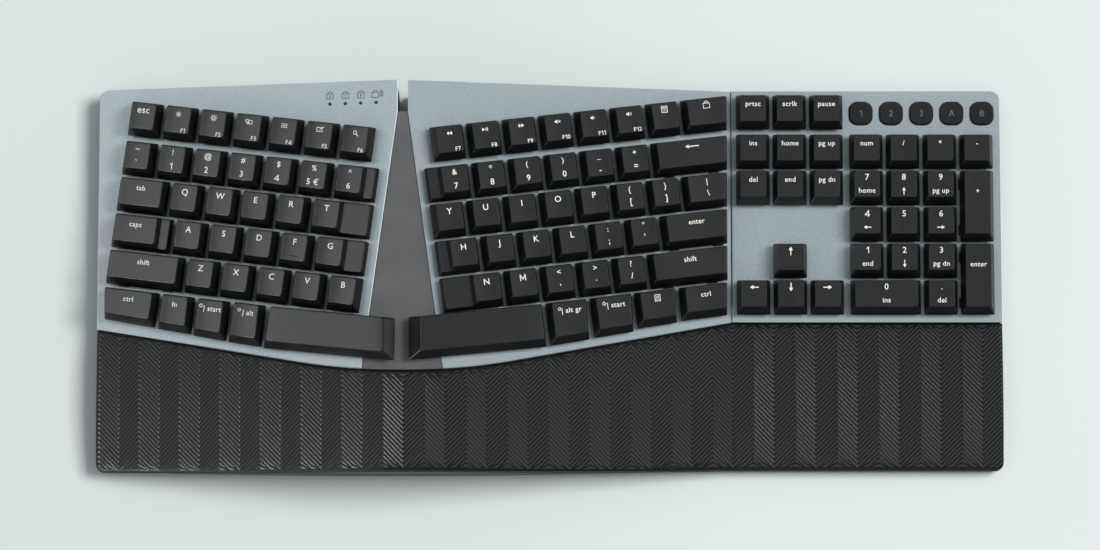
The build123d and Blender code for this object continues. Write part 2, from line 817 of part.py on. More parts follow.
# Plates, bridge and palm rest
def plate(zone, holes):
    """A sheet-metal plate cut from the tented surface, with its openings."""
    sheet = under_plates(0) & zone
    sheet -= under_plates(plate_thickness)
    rim = sheet.edges().filter_by(lambda e: e.center().Z > surface(e.center().X) - plate_edge_break / 4)
    return chamfer(rim, plate_edge_break) - holes


def build_plates(footprint):
    """The left, right and number pad plates."""
    high = work_height
    gap = seam_gap / 2
    strip = bridge_zone(gap)
    clear_palm = palm_zone(gap)
    left_zone = footprint & centred_box(-far, crest_x, -far, far, -1, high)
    right_zone = footprint & centred_box(crest_x, fold_x - gap, -far, far, -1, high)
    pad_zone = footprint & centred_box(fold_x + gap, far, -far, far, -1, high)
    light_hole = Cylinder(light_radius + light_clearance, 8)
    lights = [Pos(x, light_y, surface(x)) * light_hole for x in light_places()]
    button_hole = extrude(squircle(mode_button_clearance), 3, both=True)
    buttons = [Pos(x, mode_button_y, pad_plate_height) * button_hole for x in button_places()]
    left = plate(left_zone - strip - clear_palm, left_field.holes() + lights)
    right = plate(right_zone - strip - clear_palm, right_field.holes())
    pad = plate(pad_zone - clear_palm, nav_field.holes() + pad_field.holes() + buttons)
    return left, right, pad


def light_places():
    """X of the four indicator lights."""
    return [light_first_x + index * light_pitch for index in range(4)]


def button_places():
    """X of the five mode buttons."""
    return [mode_button_middle_x + (index - 2) * mode_button_pitch for index in range(5)]


def squircle(margin=0.0):
    """The mode buttons' round-cornered square."""
    side = mode_button_side + 2 * margin
    return RectangleRounded(side, side, mode_button_corner + margin)


def bridge_section(y, half_span, low, high):
    """An X-Z section over the crest between two depths under the bridge's rounded top."""
    middle_x = (notch_right_x + notch_left_x) / 2
    left = middle_x - half_span
    right = middle_x + half_span
    edge = (surface(left) + surface(right)) / 2 - bridge_sag
    crown = edge + half_span * tan(radians(tent_angle / 2))
    lower = ThreePointArc((right, y, edge - low), (middle_x, y, crown - low), (left, y, edge - low))
    if high > 0:
        upper = [Line((left, y, edge + high), (right, y, edge + high))]
    else:
        upper = [ThreePointArc((left, y, edge), (middle_x, y, crown), (right, y, edge))]
    sides = [Line((left, y, edge - low), (left, y, edge + high)),
             Line((right, y, edge + high), (right, y, edge - low))]
    return make_face(Curve() + sides + upper + [lower])


def bridge_span(clearance):
    """Half widths of the bridge at its rear end and past the seam."""
    span = (notch_right_x - notch_left_x) / 2 - clearance
    return span, span + (bridge_rear_y - seam_crest_y + bridge_lap) * column_lean


def build_bridge(holes):
    """The moulded strip that rounds over the crest between the plates."""
    rear_span, front_span = bridge_span(seam_gap / 2)
    front = bridge_section(seam_crest_y - bridge_lap, front_span, bridge_thickness, 0)
    rear = bridge_section(bridge_rear_y, rear_span, bridge_thickness, 0)
    return loft([front, rear], ruled=True) - palm_zone(seam_gap / 2) - holes


def bridge_room():
    """The room over the case that the bridge and its crest take up."""
    rear_span, front_span = bridge_span(0)
    depth = bridge_thickness + bridge_seat_gap
    front = bridge_section(seam_crest_y - bridge_lap, front_span, depth, bridge_room_height)
    rear = bridge_section(bridge_rear_y, rear_span, depth, bridge_room_height)
    return loft([front, rear], ruled=True) + extrude(rear, bridge_lap, dir=(0, 1, 0)) - palm_zone()


def build_palm_rest(footprint):
    """The hard board and the crowned pad on it."""
    zone = palm_zone(-seam_gap / 2)
    board_low = -palm_board_depth
    board_high = board_low + palm_board_thickness
    board = palm_slab(board_high, board_low) & footprint & zone
    pad_low = board_high + palm_pad_seat
    crown_y = (seam_crest_y + front_crest_y) / 2 + palm_crown_shift
    sections = [palm_section(front_crest_y - palm_front_station, -palm_front_drop - palm_crown, pad_low),
                palm_section(crown_y, palm_crown, pad_low),
                palm_section(seam_crest_y + palm_rear_station, palm_rear_rise - palm_crown, pad_low)]
    outline = prism(footprint_face(palm_pad_inset), -1)
    body = loft(sections) & outline & palm_zone(-seam_gap / 2 - palm_pad_inset)
    tented = body & centred_box(-far, fold_x, -far, far, -1, work_height)
    level = body & centred_box(fold_x, far, -far, far, -1, work_height)
    return board, rounded_rim(tented) + rounded_rim(level)


def rounded_rim(solid):
    """Draw the pad's sides in round its top, but not where its two halves meet at the fold."""
    edges = [edge for face in solid.faces() if face.normal_at().Z > 0.5 for edge in face.edges()]
    rim = [edge for edge in edges if sum(edge.is_same(other) for other in edges) == 1]
    rim = [edge for edge in rim if abs((edge @ 0.5).X - fold_x) > 0.01]
    return fillet(rim, palm_pad_round)


# Lower case and what it carries
def build_case():
    """The lower shell before its fittings: its outside, and the rooms behind and before the seam."""
    shell_face = footprint_face(case_inset)
    shell = prism(shell_face, rubber_foot_height)
    notch = centred_box(notch_left_x - case_inset, notch_right_x + case_inset, bridge_rear_y - case_inset,
                        rear_y + cutter_spare, -5, work_height)
    palm = palm_zone()
    rear_part = (shell & under_plates(plate_thickness)) - palm - notch
    front_part = shell & palm_slab(-palm_board_depth, -work_height) & palm
    body = rear_part + front_part
    low_edges = body.edges().filter_by(lambda e: abs(e.bounding_box().max.Z - rubber_foot_height) < 0.01)
    outer_low = low_edges.filter_by(lambda e: e.center().Y > rear_y - 3 or e.center().Y < front_right_y + 3
                                    or abs(e.center().X) > half_width - 3)
    side_wall = min(surface(-half_width), pad_plate_height) - palm_board_depth - rubber_foot_height
    body = chamfer(outer_low, min(case_edge_break, side_wall * case_edge_share))
    inner_face = footprint_face(case_inset + case_wall)
    room = prism(inner_face, floor_top)
    notch_wall = centred_box(notch_left_x - case_inset - case_wall, notch_right_x + case_inset + case_wall,
                             bridge_rear_y - case_inset - case_wall, rear_y + cutter_spare, -5, work_height)
    room_rear = room - palm_zone(rib_thickness / 2) - notch_wall
    room_front = room & palm_zone(-rib_thickness / 2)
    return body - bridge_room(), room_rear, room_front


def screw_places():
    """Plan places of all case screws."""
    places = list(boss_positions)
    for column, row in pad_boss_cells:
        places.append((nav_field_x + column * key_pitch, nav_field_y + row * key_pitch))
    return places


def case_screw(x, y):
    """A countersunk case screw seen from below as a flat head."""
    head = inner_bar(screw_head_radius, screw_head_height)
    shank = Pos(0, 0, screw_head_height) * inner_bar(screw_radius, screw_length)
    return Pos(x, y, rubber_foot_height + screw_sink) * (head + shank)


def screw_recess(x, y):
    """What a screw takes out of the floor and its boss."""
    depth = screw_head_height + screw_sink
    bore_depth = depth + screw_length + screw_spare_depth
    head = inner_bar(screw_head_radius + screw_clearance, depth)
    bore = inner_bar(boss_hole_radius, bore_depth)
    return Pos(x, y, rubber_foot_height) * (head + bore)


def foot_axis_height():
    """Height of the fold-out feet's pivots."""
    return rubber_foot_height + foot_sink + foot_pivot_radius


def foot(x, y):
    """A folded foot: a plate with a pivot barrel at its rear end."""
    z = foot_axis_height()
    barrel = Pos(x, y, z) * Rot(0, 90, 0) * Cylinder(foot_pivot_radius, foot_width)
    blade = centred_box(x - foot_width / 2, x + foot_width / 2, y - foot_length, y,
                        z - foot_thickness / 2, z + foot_thickness / 2)
    tip = blade.edges().filter_by(lambda e: abs(e.center().Y - (y - foot_length)) < 0.01
                                  and abs(e.center().Z - z) < 0.01)
    blade = fillet(tip, foot_tip_round)
    bore = Pos(x, y, z) * Rot(0, 90, 0) * Cylinder(foot_pin_radius + foot_pin_clearance, foot_width + 2)
    return blade + barrel - bore


def foot_pin(x, y):
    """The pin through a foot, held in the pocket's side walls."""
    length = foot_width + 2 * foot_clearance + 2 * foot_pocket_wall - 0.2
    return Pos(x, y, foot_axis_height()) * Rot(0, 90, 0) * Cylinder(foot_pin_radius, length)


def foot_pocket(x, y):
    """The pocket's outer block and the room that is cut from it."""
    half = foot_width / 2 + foot_clearance
    rear = y + foot_pivot_radius + foot_clearance
    front = y - foot_length - foot_clearance
    roof = foot_axis_height() + foot_pivot_radius + 0.2
    wall = foot_pocket_wall
    block = centred_box(x - half - wall, x + half + wall, front - wall, rear + wall,
                        rubber_foot_height, roof + foot_pocket_roof)
    room = centred_box(x - half, x + half, front, rear, -1, roof)
    finger = centred_box(x - finger_room, x + finger_room, front - wall - finger_room, front + 1,
                         -1, rubber_foot_height + case_floor / 2)
    bore = Pos(x, y, foot_axis_height()) * Rot(0, 90, 0)
    bore = bore * Cylinder(foot_pin_radius + foot_pin_clearance / 2, 2 * (half + wall) - 0.1)
    return block, room + finger + bore


def rubber_pad(x, y):
    """A round-cornered rubber pad that sits in a shallow seat."""
    face = RectangleRounded(rubber_length, rubber_width, rubber_corner)
    return Pos(x, y, 0) * extrude(face, rubber_foot_height + rubber_sink)


def rubber_seat(x, y):
    """The seat's cutter."""
    margin = 2 * rubber_clearance
    face = RectangleRounded(rubber_length + margin, rubber_width + margin, rubber_corner + rubber_clearance)
    return Pos(x, y, 0) * extrude(face, rubber_foot_height + rubber_sink)


def board(zone, holes):
    """A circuit board hung under the switches of a plate."""
    slab = (under_plates(board_depth) - under_plates(board_depth + board_thickness)) & zone
    return slab - holes


def build_boards(bosses):
    """Circuit boards of the two halves and the number pad."""
    inside = prism(footprint_face(board_margin), 0)
    inside -= palm_zone(board_front_margin)
    clear = bridge_zone(board_crest_margin)
    left = board((inside & centred_box(-far, crest_x, -far, far, -1, work_height)) - clear, bosses)
    right_end = fold_x - board_fold_margin
    right = board((inside & centred_box(crest_x, right_end, -far, far, -1, work_height)) - clear, bosses)
    pad = board(inside & centred_box(fold_x + board_fold_margin, far, -far, far, -1, work_height), bosses)
    return left, right, pad


def mode_button(x):
    """A mode button with the flange that holds it under the plate."""
    top = pad_plate_height + mode_button_rise
    low = pad_plate_height - plate_thickness
    cap = Pos(x, mode_button_y, low) * extrude(squircle(), top - low)
    crown = cap.edges().filter_by(lambda e: e.center().Z > top - 0.01)
    cap = chamfer(crown, mode_button_break)
    side = mode_button_side + 2 * mode_button_flange_margin
    flange_height = mode_button_flange - mode_button_flange_gap
    flange_z = low - mode_button_flange_gap - flange_height / 2
    flange = Pos(x, mode_button_y, flange_z) * Box(side, side, flange_height)
    neck_side = mode_button_side / 2
    neck = Pos(x, mode_button_y, low) * Box(neck_side, neck_side, 4 * mode_button_flange_gap)
    return cap + neck + flange


def build_controller():
    """Controller board with the power switch's body, the socket, and the slider."""
    cx, cy = controller_middle
    width, depth, thick = controller_size
    top = controller_height + thick
    wall_inner = rear_y - case_inset - case_wall
    slab = Pos(cx, cy, controller_height + thick / 2) * Box(width, depth, thick)
    base_w, base_d, base_h = slider_base
    body_rear = wall_inner - base_d - 2 * slider_clearance
    body = centred_box(slider_x - switch_body_width / 2, slider_x + switch_body_width / 2,
                       body_rear - switch_body_depth, body_rear, top, top + switch_body_height)
    mouth_y = rear_y - case_inset - socket_sink
    z = top + socket_height / 2
    outer = Pos(socket_x, mouth_y - socket_depth / 2, z) * Rot(90, 0, 0)
    face = RectangleRounded(socket_width, socket_height, socket_corner)
    shell = outer * extrude(face, socket_depth / 2, both=True)
    bore = Pos(socket_x, mouth_y - socket_depth / 2 + 0.5, z) * Rot(90, 0, 0)
    mouth = RectangleRounded(socket_width - 2 * socket_wall, socket_height - 2 * socket_wall,
                             socket_corner - socket_wall)
    bore = bore * extrude(mouth, socket_depth / 2, both=True)
    tongue_width, tongue_height = socket_tongue
    tongue = centred_box(socket_x - tongue_width / 2, socket_x + tongue_width / 2,
                         mouth_y - socket_depth + socket_wall / 2, mouth_y - 1.2,
                         z - tongue_height / 2, z + tongue_height / 2)
    socket = shell - bore + tongue
    knob_w, knob_h = slider_knob
    slider_z = top + switch_body_height / 2
    knob_out = rear_y - case_inset + slider_stand_out
    knob = centred_box(slider_x - knob_w / 2, slider_x + knob_w / 2, wall_inner - 0.5, knob_out,
                       slider_z - knob_h / 2, slider_z + knob_h / 2)
    plate_rear = wall_inner - slider_clearance
    base = centred_box(slider_x - base_w / 2, slider_x + base_w / 2, plate_rear - base_d, plate_rear,
                       slider_z - base_h / 2, slider_z + base_h / 2)
    knob += centred_box(slider_x - knob_w / 2, slider_x + knob_w / 2, plate_rear - 0.2, wall_inner,
                        slider_z - knob_h / 2, slider_z + knob_h / 2)
    return slab, body, socket, base + knob


def rear_openings():
    """Openings in the rear wall for the socket and the power slider."""
    thick = controller_size[2]
    top = controller_height + thick
    z = top + socket_height / 2
    face = RectangleRounded(socket_width + 2 * socket_clearance, socket_height + 2 * socket_clearance,
                            socket_corner + socket_clearance)
    socket = Pos(socket_x, rear_y, z) * Rot(90, 0, 0) * extrude(face, 8, both=True)
    knob_w, knob_h = slider_knob
    slot_x = slider_x + slider_travel / 2
    slot = Pos(slot_x, rear_y - 2, top + switch_body_height / 2)
    slot = slot * Box(knob_w + slider_travel + 2 * slider_clearance, 10, knob_h + 2 * slider_clearance)
    return [socket, slot]


def controller_posts():
    """Posts on the floor that carry the controller board."""
    cx, cy = controller_middle
    width, depth, thick = controller_size
    height = controller_height - floor_top
    reach_x = width / 2 - controller_post_margin
    reach_y = depth / 2 - controller_post_margin
    corners = [(cx + side * reach_x, cy + end * reach_y) for side in (-1, 1) for end in (-1, 1)]
    return [Pos(x, y, floor_top) * inner_bar(controller_post_radius, height) for x, y in corners]


def ribbon(points, y):
    """A flat ribbon cable along an X-Z path."""
    top = [(x, y, z) for x, z in points]
    low = [(x, y, z - ribbon_thickness) for x, z in reversed(points)]
    return extrude(make_face(Polyline(*top, *low, close=True)), ribbon_width, dir=(0, 1, 0))


def build_ribbons():
    """Ribbons from the left board to the right one and on to the number pad's."""
    drop = board_depth + board_thickness

    def under(x):
        return surface(x) - drop / tent_cosine

    left_x = crest_x - ribbon_reach
    right_x = crest_x + ribbon_reach
    sag = under(left_x) - ribbon_sag
    first = ribbon([(left_x - ribbon_lap, under(left_x - ribbon_lap)), (left_x, under(left_x)),
                    (left_x + 2 * ribbon_sag, sag), (right_x - 2 * ribbon_sag, sag),
                    (right_x, under(right_x)), (right_x + ribbon_lap, under(right_x + ribbon_lap))], ribbon_y)
    pad_low = pad_plate_height - drop
    start = fold_x - board_fold_margin
    end = fold_x + board_fold_margin
    second = ribbon([(start - ribbon_lap, under(start - ribbon_lap)), (start, under(start)),
                     (end, pad_low), (end + ribbon_lap, pad_low)], ribbon_y)
    return [first, second]


def build():
    """Write every node."""
    footprint = prism(footprint_face(), -5)
    for name, pieces in build_keys().items():
        save(name, pieces)
    left, right, pad = build_plates(footprint)
    save("left_top_plate", [left])
    save("right_top_plate", [right])
    save("number_pad_top_plate", [pad])
    guide_holes = left_field.guide_holes() + right_field.guide_holes()
    save("centre_bridge", [build_bridge(guide_holes)])
    palm_board, palm_pad = build_palm_rest(footprint)
    save("palm_rest_board", [palm_board])
    save("palm_rest_pad", [palm_pad])

    save("left_switch_housings", left_field.housings())
    save("right_switch_housings", right_field.housings())
    save("number_pad_switch_housings", nav_field.housings() + pad_field.housings())
    fields = (left_field, right_field, pad_field)
    save("stabiliser_guides", [piece for field in fields for piece in field.guides()])
    save("stabiliser_wires", [piece for field in fields for piece in field.bent_wires()])

    places = screw_places()
    boss_clear = [Pos(x, y, 0) * inner_bar(boss_radius + boss_clearance, work_height) for x, y in places]
    left_board, right_board, pad_board = build_boards(boss_clear)
    tact_z = pad_plate_height - board_depth + tact_switch_height / 2
    tacts = [Pos(x, mode_button_y, tact_z) * Box(tact_switch_side, tact_switch_side, tact_switch_height)
             for x in button_places()]
    save("left_circuit_board", [left_board])
    save("right_circuit_board", [right_board])
    save("number_pad_circuit_board", [pad_board] + tacts)
    save("ribbon_cables", build_ribbons())

    slab, body, socket, slider = build_controller()
    save("controller_board", [slab, body])
    save("charging_socket", [socket])
    save("power_slider", [slider])
    width, depth, height = battery_size
    bx, by = battery_middle
    cell = Pos(bx, by, floor_top + height / 2) * Box(width, depth, height)
    save("battery_pack", [chamfer(cell.edges().filter_by(Axis.X), battery_edge)])

    case_body, room_rear, room_front = build_case()
    bosses = [Pos(x, y, floor_top - 1) * inner_bar(boss_radius, work_height) for x, y in places]
    bosses = [boss & under_plates(plate_thickness) for boss in bosses]
    pockets = [foot_pocket(x, y) for x, y in foot_positions]
    case_body = case_body - room_rear - room_front
    case_body += bosses + controller_posts() + [block for block, room in pockets]
    cuts = [room for block, room in pockets] + rear_openings()
    cuts += [screw_recess(x, y) for x, y in places] + [rubber_seat(x, y) for x, y in rubber_positions]
    case_body -= cuts
    save("bottom_case", [case_body])
    save("case_screws", [case_screw(x, y) for x, y in places])
    save("rubber_feet", [rubber_pad(x, y) for x, y in rubber_positions])

    lights = []
    for x in light_places():
        low = surface(x) - board_depth / tent_cosine + light_seat_gap
        high = surface(x) + light_stand_out
        lights.append(Pos(x, light_y, (low + high) / 2) * Cylinder(light_radius, high - low))
    save("indicator_light_pipes", lights)
    for index, x in enumerate(button_places()):
        save(f"mode_button_{index + 1}", [mode_button(x)])
    save("left_fold_out_foot", [foot(*foot_positions[0])])
    save("right_fold_out_foot", [foot(*foot_positions[1])])
    save("foot_hinge_pins", [foot_pin(x, y) for x, y in foot_positions])


build()
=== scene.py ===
import json
from math import atan2, cos, dist, pi, radians, sin, sqrt, tan

import bmesh
import bpy
from mathutils import Matrix, Vector


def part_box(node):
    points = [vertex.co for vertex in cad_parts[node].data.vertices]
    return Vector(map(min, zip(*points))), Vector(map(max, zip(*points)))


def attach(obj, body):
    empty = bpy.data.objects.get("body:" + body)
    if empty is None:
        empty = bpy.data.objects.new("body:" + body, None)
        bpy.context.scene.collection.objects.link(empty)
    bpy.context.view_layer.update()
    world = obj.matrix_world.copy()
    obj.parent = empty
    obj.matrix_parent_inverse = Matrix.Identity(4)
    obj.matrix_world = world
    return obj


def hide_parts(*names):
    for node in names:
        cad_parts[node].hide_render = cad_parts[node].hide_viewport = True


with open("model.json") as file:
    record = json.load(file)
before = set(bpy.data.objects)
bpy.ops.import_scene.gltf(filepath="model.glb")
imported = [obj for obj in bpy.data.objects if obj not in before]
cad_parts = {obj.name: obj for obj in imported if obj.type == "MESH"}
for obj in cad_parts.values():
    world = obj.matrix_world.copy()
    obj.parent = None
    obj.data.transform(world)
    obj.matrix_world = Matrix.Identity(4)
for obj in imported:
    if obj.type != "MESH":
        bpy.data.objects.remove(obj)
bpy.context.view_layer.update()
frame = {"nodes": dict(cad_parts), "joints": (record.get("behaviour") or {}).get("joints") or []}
nodes = frame["nodes"]

# Sizes are in millimetres here and angles in degrees. A mesh is made in metres
MM = 0.001

# The plates' planes, as the frame has them
crest_x = -76.1
crest_height = 47.0
tent_angle = 12.0
splay_angle = 8.0
fold_x = 94.2
pad_plate_height = 12.0

# Keycaps: how the CAD's caps are told from plungers, and what is drawn in their place
cap_lift = 3.6
cap_height = 7.0
lift_slack = 0.5
height_slack = 1.0
skirt_slack = 0.02
cap_top_share = 0.8
row_band = 12.0
level_lean = 0.01
cap_wall = 1.2
cap_roof = 1.5
cap_dish = 0.5
cap_side_inset = 2.17
cap_draws = (0.9, 2.17, 3.5, 2.17)
step_height = 3.3
step_reach = 4.0
shelf_inset = 0.03
cap_corner_low = 0.8
cap_corner_high = 1.1
cap_corner_inside = 0.4
cap_edge_round = 0.32
cap_edge_lean = 0.25
cap_edge_steps = 5
cap_side_bulge = 0.12
cap_skirt_break = 0.15
cap_side_levels = (0.02, 0.3, 0.6, 0.85)
cap_top_rings = (0.86, 0.64, 0.4, 0.18)
cap_sharp_angle = 38
side_point_spacing = 2.4
corner_points = 5

# Places of the materials in a mesh of keys
side_slot = 0
stem_slot = 1
top_slot = 2

# Homing bar: its length is given as places along it and the share of its size there
bar_half = 2.6
bar_radius = 0.35
bar_rise = 0.42
bar_setback = 2.2
bar_sunk = 0.05
bar_steps = 6
bar_sections = ((-1.0, 0.35), (-0.88, 1.0), (0.88, 1.0), (1.0, 0.35))

# Legends
legend_lift = 0.012
legend_depth = 0.05
letter_size = 4.4
word_size = 3.7
letter_drop = 4.0
word_drop = 4.4
near_icon_drop = 3.4
upper_drop = 3.3
figure_gap = 7.1
sign_gap = 6.1
point_gap = 5.2
font_boldness = 0.007
font_spacing = 1.07
font_resolution = 3
text_middle = 0.34
glyph_stroke = 0.1
glyph_gap = 0.08
drawn_characters = {
    "1": [(-0.17, 0.52), (0.04, 0.66), (0.04, 0.0)],
    "4": [(0.14, 0.0), (0.14, 0.66), (-0.25, 0.17), (0.27, 0.17)],
    "M": [(-0.3, 0.0), (-0.3, 0.66), (0.0, 0.14), (0.3, 0.66), (0.3, 0.0)],
}

# Marks of the mode buttons and of the indicator lights
button_marks = "123AB"
button_mark_size = 4.6
button_mark_middle = 1.6
light_marks = ("A", "1", "F", None)
light_inset = 0.8
last_light_shift = 0.5
padlock_scale = 1.3
padlock_rise = 4.3
battery_across = 3.3
battery_rise = 4.5

# Palm rest: its outline, its crown as heights at three depths, and its pressed ribs
half_width = 234.3
front_crest_y = -100.6
front_left_y = -98.4
front_right_y = -97.6
seam_crest_y = -49.0
seam_radius = 290.0
seam_left_angle = 10.4
seam_right_angle = 11.2
tent_round_half = 20.3
pad_inset = 0.3
pad_seam_inset = 0.45
pad_round = 0.9
pad_round_steps = 6
pad_wall_drop = 0.4
pad_corner = 4.2
pad_corner_steps = 6
pad_column_gap = 0.3
pad_underside = 5.2
pad_drawn_in = 0.25
pad_sharp_angle = 60
pad_crown_points = ((-104.6, -3.1), (-68.8, 1.7), (-9.0, -1.5))
pad_rib_band = 10.77
pad_rib_period = 2.42
pad_rib_depth = 0.42
pad_rib_rows = 6
pad_rib_fade = 0.3
pad_band_parts = (0.0, 0.05, 0.5, 0.95)
pad_ends = half_width - pad_inset - pad_round
pad_inner_corner = pad_corner - pad_round
least_point_gap = 1e-4
least_miter = 0.6

# Materials: spread of the gloss, the upright share of a normal under which a plate gets a painted
# highlight, tone of scratches, and how much the grain adds to the ribs' tone of painted light and shade
gloss_spread = 0.08
highlight_upright = 0.9
scratch_tone = 0.86
grain_share = 0.14

# Stage and camera, in metres but for the floor
floor_half = 6000.0
sky_low = (0.2, 0.21, 0.215)
sky_high = (0.43, 0.45, 0.455)
backdrop = (0.73, 0.776, 0.776)
camera_pitch = 7.35
camera_distance = 2.2
camera_target = (0.0, 0.0034, 0.0156)
camera_lens = 139.2


# Materials
def new_material(name):
    """A new material, its node tree and its shader."""
    material = bpy.data.materials.new(name)
    material.use_nodes = True
    tree = material.node_tree
    return material, tree, next(n for n in tree.nodes if n.type == "BSDF_PRINCIPLED")


def join(tree, socket, value):
    """Put a plain value or another node's output on an input."""
    if isinstance(value, bpy.types.NodeSocket):
        tree.links.new(value, socket)
    else:
        socket.default_value = value


def add_node(tree, kind, sockets=None):
    """A node of a tree, with a value or another node's output on each named input."""
    node = tree.nodes.new("ShaderNode" + kind)
    for name, value in (sockets or {}).items():
        join(tree, node.inputs[name], value)
    return node


def noise(tree, scale, detail=2.0, roughness=0.5):
    """A noise over object coordinates."""
    place = add_node(tree, "TexCoord").outputs["Object"]
    sockets = {"Vector": place, "Scale": scale, "Detail": detail, "Roughness": roughness}
    return add_node(tree, "TexNoise", sockets).outputs["Fac"]


def ramp(tree, value, dark, light, low=0.3, high=0.7):
    """A colour from dark to light, as a value climbs from low to high."""
    node = add_node(tree, "ValToRGB", {"Fac": value})
    for element, place, colour in zip(node.color_ramp.elements, (low, high), (dark, light)):
        element.position = place
        element.color = (*colour, 1.0)
    return node.outputs["Color"]


def bump(tree, height, distance, strength=1.0):
    """A bump from a height between 0 and 1, deep in metres."""
    sockets = {"Height": height, "Distance": distance, "Strength": strength}
    return add_node(tree, "Bump", sockets).outputs["Normal"]


def ranged(tree, value, low, high):
    """A value between 0 and 1 carried to another range."""
    return add_node(tree, "MapRange", {"Value": value, "To Min": low, "To Max": high}).outputs["Result"]


def reckoned(tree, operation, *values):
    """The result of a sum or a comparison."""
    node = add_node(tree, "Math")
    node.operation = operation
    for socket, value in zip(node.inputs, values):
        join(tree, socket, value)
    return node.outputs["Value"]


def mixed(tree, factor, first, second):
    """A socket's colour where the factor is 0, and a fixed colour where it is 1."""
    node = add_node(tree, "Mix")
    node.data_type = "RGBA"
    for name, value in (("Factor", factor), ("A", first), ("B", (*second, 1.0))):
        join(tree, node.inputs[name], value)
    return node.outputs["Result"]


def upward(tree, vector):
    """The upright share of a vector."""
    return add_node(tree, "SeparateXYZ", {"Vector": vector}).outputs["Z"]


def dress(tree, shader, colour, roughness, normal=None, specular=0.5, metallic=0.0):
    """Put what a surface shows on its shader."""
    sockets = {"Base Color": colour, "Roughness": roughness, "Specular IOR Level": specular,
               "Metallic": metallic}
    if normal:
        sockets["Normal"] = normal
    for name, value in sockets.items():
        join(tree, shader.inputs[name], value)


def plastic(name, dark, light, roughness, grain, grain_depth, specular=0.5):
    """Moulded plastic: a spark-eroded grain, a slow change of tone and of gloss."""
    material, tree, shader = new_material(name)
    slow = noise(tree, scale=45.0, detail=3.0)
    fine = noise(tree, grain, roughness=0.6)
    gloss = ranged(tree, fine, roughness - gloss_spread, roughness + gloss_spread)
    dress(tree, shader, ramp(tree, slow, dark, light), gloss, bump(tree, fine, grain_depth), specular)
    return material


def plate_metal(name, dark, light, edge):
    """Blasted and anodised aluminium with a fine sparkle, and a painted highlight: a lighter colour on
    every face that isn't level.
    """
    material, tree, shader = new_material(name)
    fine = noise(tree, scale=2200.0, roughness=0.6)
    slow = noise(tree, scale=12.0)
    normal = add_node(tree, "NewGeometry").outputs["True Normal"]
    # Faces that aren't level, the chamfers and walls, get the edge colour: a painted highlight.
    steep = reckoned(tree, "LESS_THAN", upward(tree, normal), highlight_upright)
    colour = mixed(tree, steep, ramp(tree, fine, dark, light), edge)
    sparkle = bump(tree, fine, 0.00003, strength=0.6)
    gloss = ranged(tree, slow, 0.42, 0.54)
    dress(tree, shader, colour, gloss, sparkle, specular=0.4, metallic=0.4)
    return material


def satin(name, dark, light):
    """Moulded-in legend, ink or glass, faintly uneven."""
    material, tree, shader = new_material(name)
    tone = noise(tree, scale=900.0)
    dress(tree, shader, ramp(tree, tone, dark, light), ranged(tree, tone, 0.5, 0.65))
    return material


def metal(name, colour, roughness):
    """Plain drawn or turned metal with fine scratches."""
    material, tree, shader = new_material(name)
    fine = noise(tree, scale=1200.0, detail=3.0)
    tones = ramp(tree, fine, [scratch_tone * c for c in colour], colour)
    gloss = ranged(tree, fine, roughness - 0.06, roughness + gloss_spread)
    dress(tree, shader, tones, gloss, bump(tree, fine, 0.00002, strength=0.4), metallic=1.0)
    return material


def pad_skin(name, groove_shade, crown):
    """Leatherette of the palm rest: painted light on its pressed ribs, painted shade in the grooves
    between them.
    """
    material, tree, shader = new_material(name)
    height = add_node(tree, "Attribute")
    height.attribute_name = "rib"
    grain = noise(tree, scale=2600.0, roughness=0.65)
    tone = reckoned(tree, "MULTIPLY_ADD", grain, grain_share, height.outputs["Fac"])
    colour = ramp(tree, tone, groove_shade, crown, low=0.28, high=0.72)
    gloss = ranged(tree, noise(tree, scale=22.0), 0.34, 0.42)
    dress(tree, shader, colour, gloss, bump(tree, grain, 0.00004, strength=0.5), specular=0.35)
    return material


# Dark and light tone, roughness, scale and depth of the grain, and how much it mirrors
plastics = {
    # The caps' tops and sides are one black plastic: the lighter top tone is painted light, the darker
    # side tone painted shade.
    "cap_plastic_painted_shade": ((0.0045, 0.0045, 0.005), (0.0065, 0.0065, 0.007), 0.42, 2400.0, 0.00003, 0.4),
    "cap_top_painted_light": ((0.011, 0.011, 0.0115), (0.015, 0.015, 0.0155), 0.31, 2400.0, 0.00003),
    "switch_plastic": ((0.004, 0.004, 0.005), (0.007, 0.007, 0.008), 0.4, 1600.0, 0.00003),
    "case_plastic": ((0.014, 0.015, 0.016), (0.02, 0.021, 0.022), 0.55, 1400.0, 0.00006),
    "bridge_plastic": ((0.09, 0.09, 0.092), (0.11, 0.11, 0.112), 0.52, 1500.0, 0.00009),
    "button_plastic": ((0.005, 0.005, 0.0055), (0.008, 0.008, 0.0085), 0.42, 1800.0, 0.00003),
    "foot_plastic": ((0.012, 0.012, 0.013), (0.018, 0.018, 0.019), 0.55, 1200.0, 0.00006),
    "rubber": ((0.01, 0.01, 0.01), (0.016, 0.016, 0.016), 0.8, 900.0, 0.0001, 0.3),
    "board_mask": ((0.004, 0.03, 0.014), (0.006, 0.045, 0.02), 0.35, 700.0, 0.00004),
    "ribbon_film": ((0.4, 0.15, 0.02), (0.5, 0.2, 0.03), 0.3, 500.0, 0.00003),
    "battery_film": ((0.1, 0.11, 0.13), (0.14, 0.15, 0.17), 0.35, 400.0, 0.00006),
}
satins = {
    "legend_ink": ((0.8, 0.78, 0.72), (0.92, 0.9, 0.84)),
    "dim_legend_ink": ((0.1, 0.11, 0.12), (0.13, 0.14, 0.15)),
    "plate_legend_ink": ((0.01, 0.012, 0.014), (0.018, 0.02, 0.022)),
    "light_glass": ((0.01, 0.011, 0.012), (0.02, 0.022, 0.024)),
}
surfaces = {name: plastic(name, *values) for name, values in plastics.items()}
surfaces.update({name: satin(name, *values) for name, values in satins.items()})
surfaces["steel"] = metal("steel", (0.6, 0.6, 0.61), 0.32)
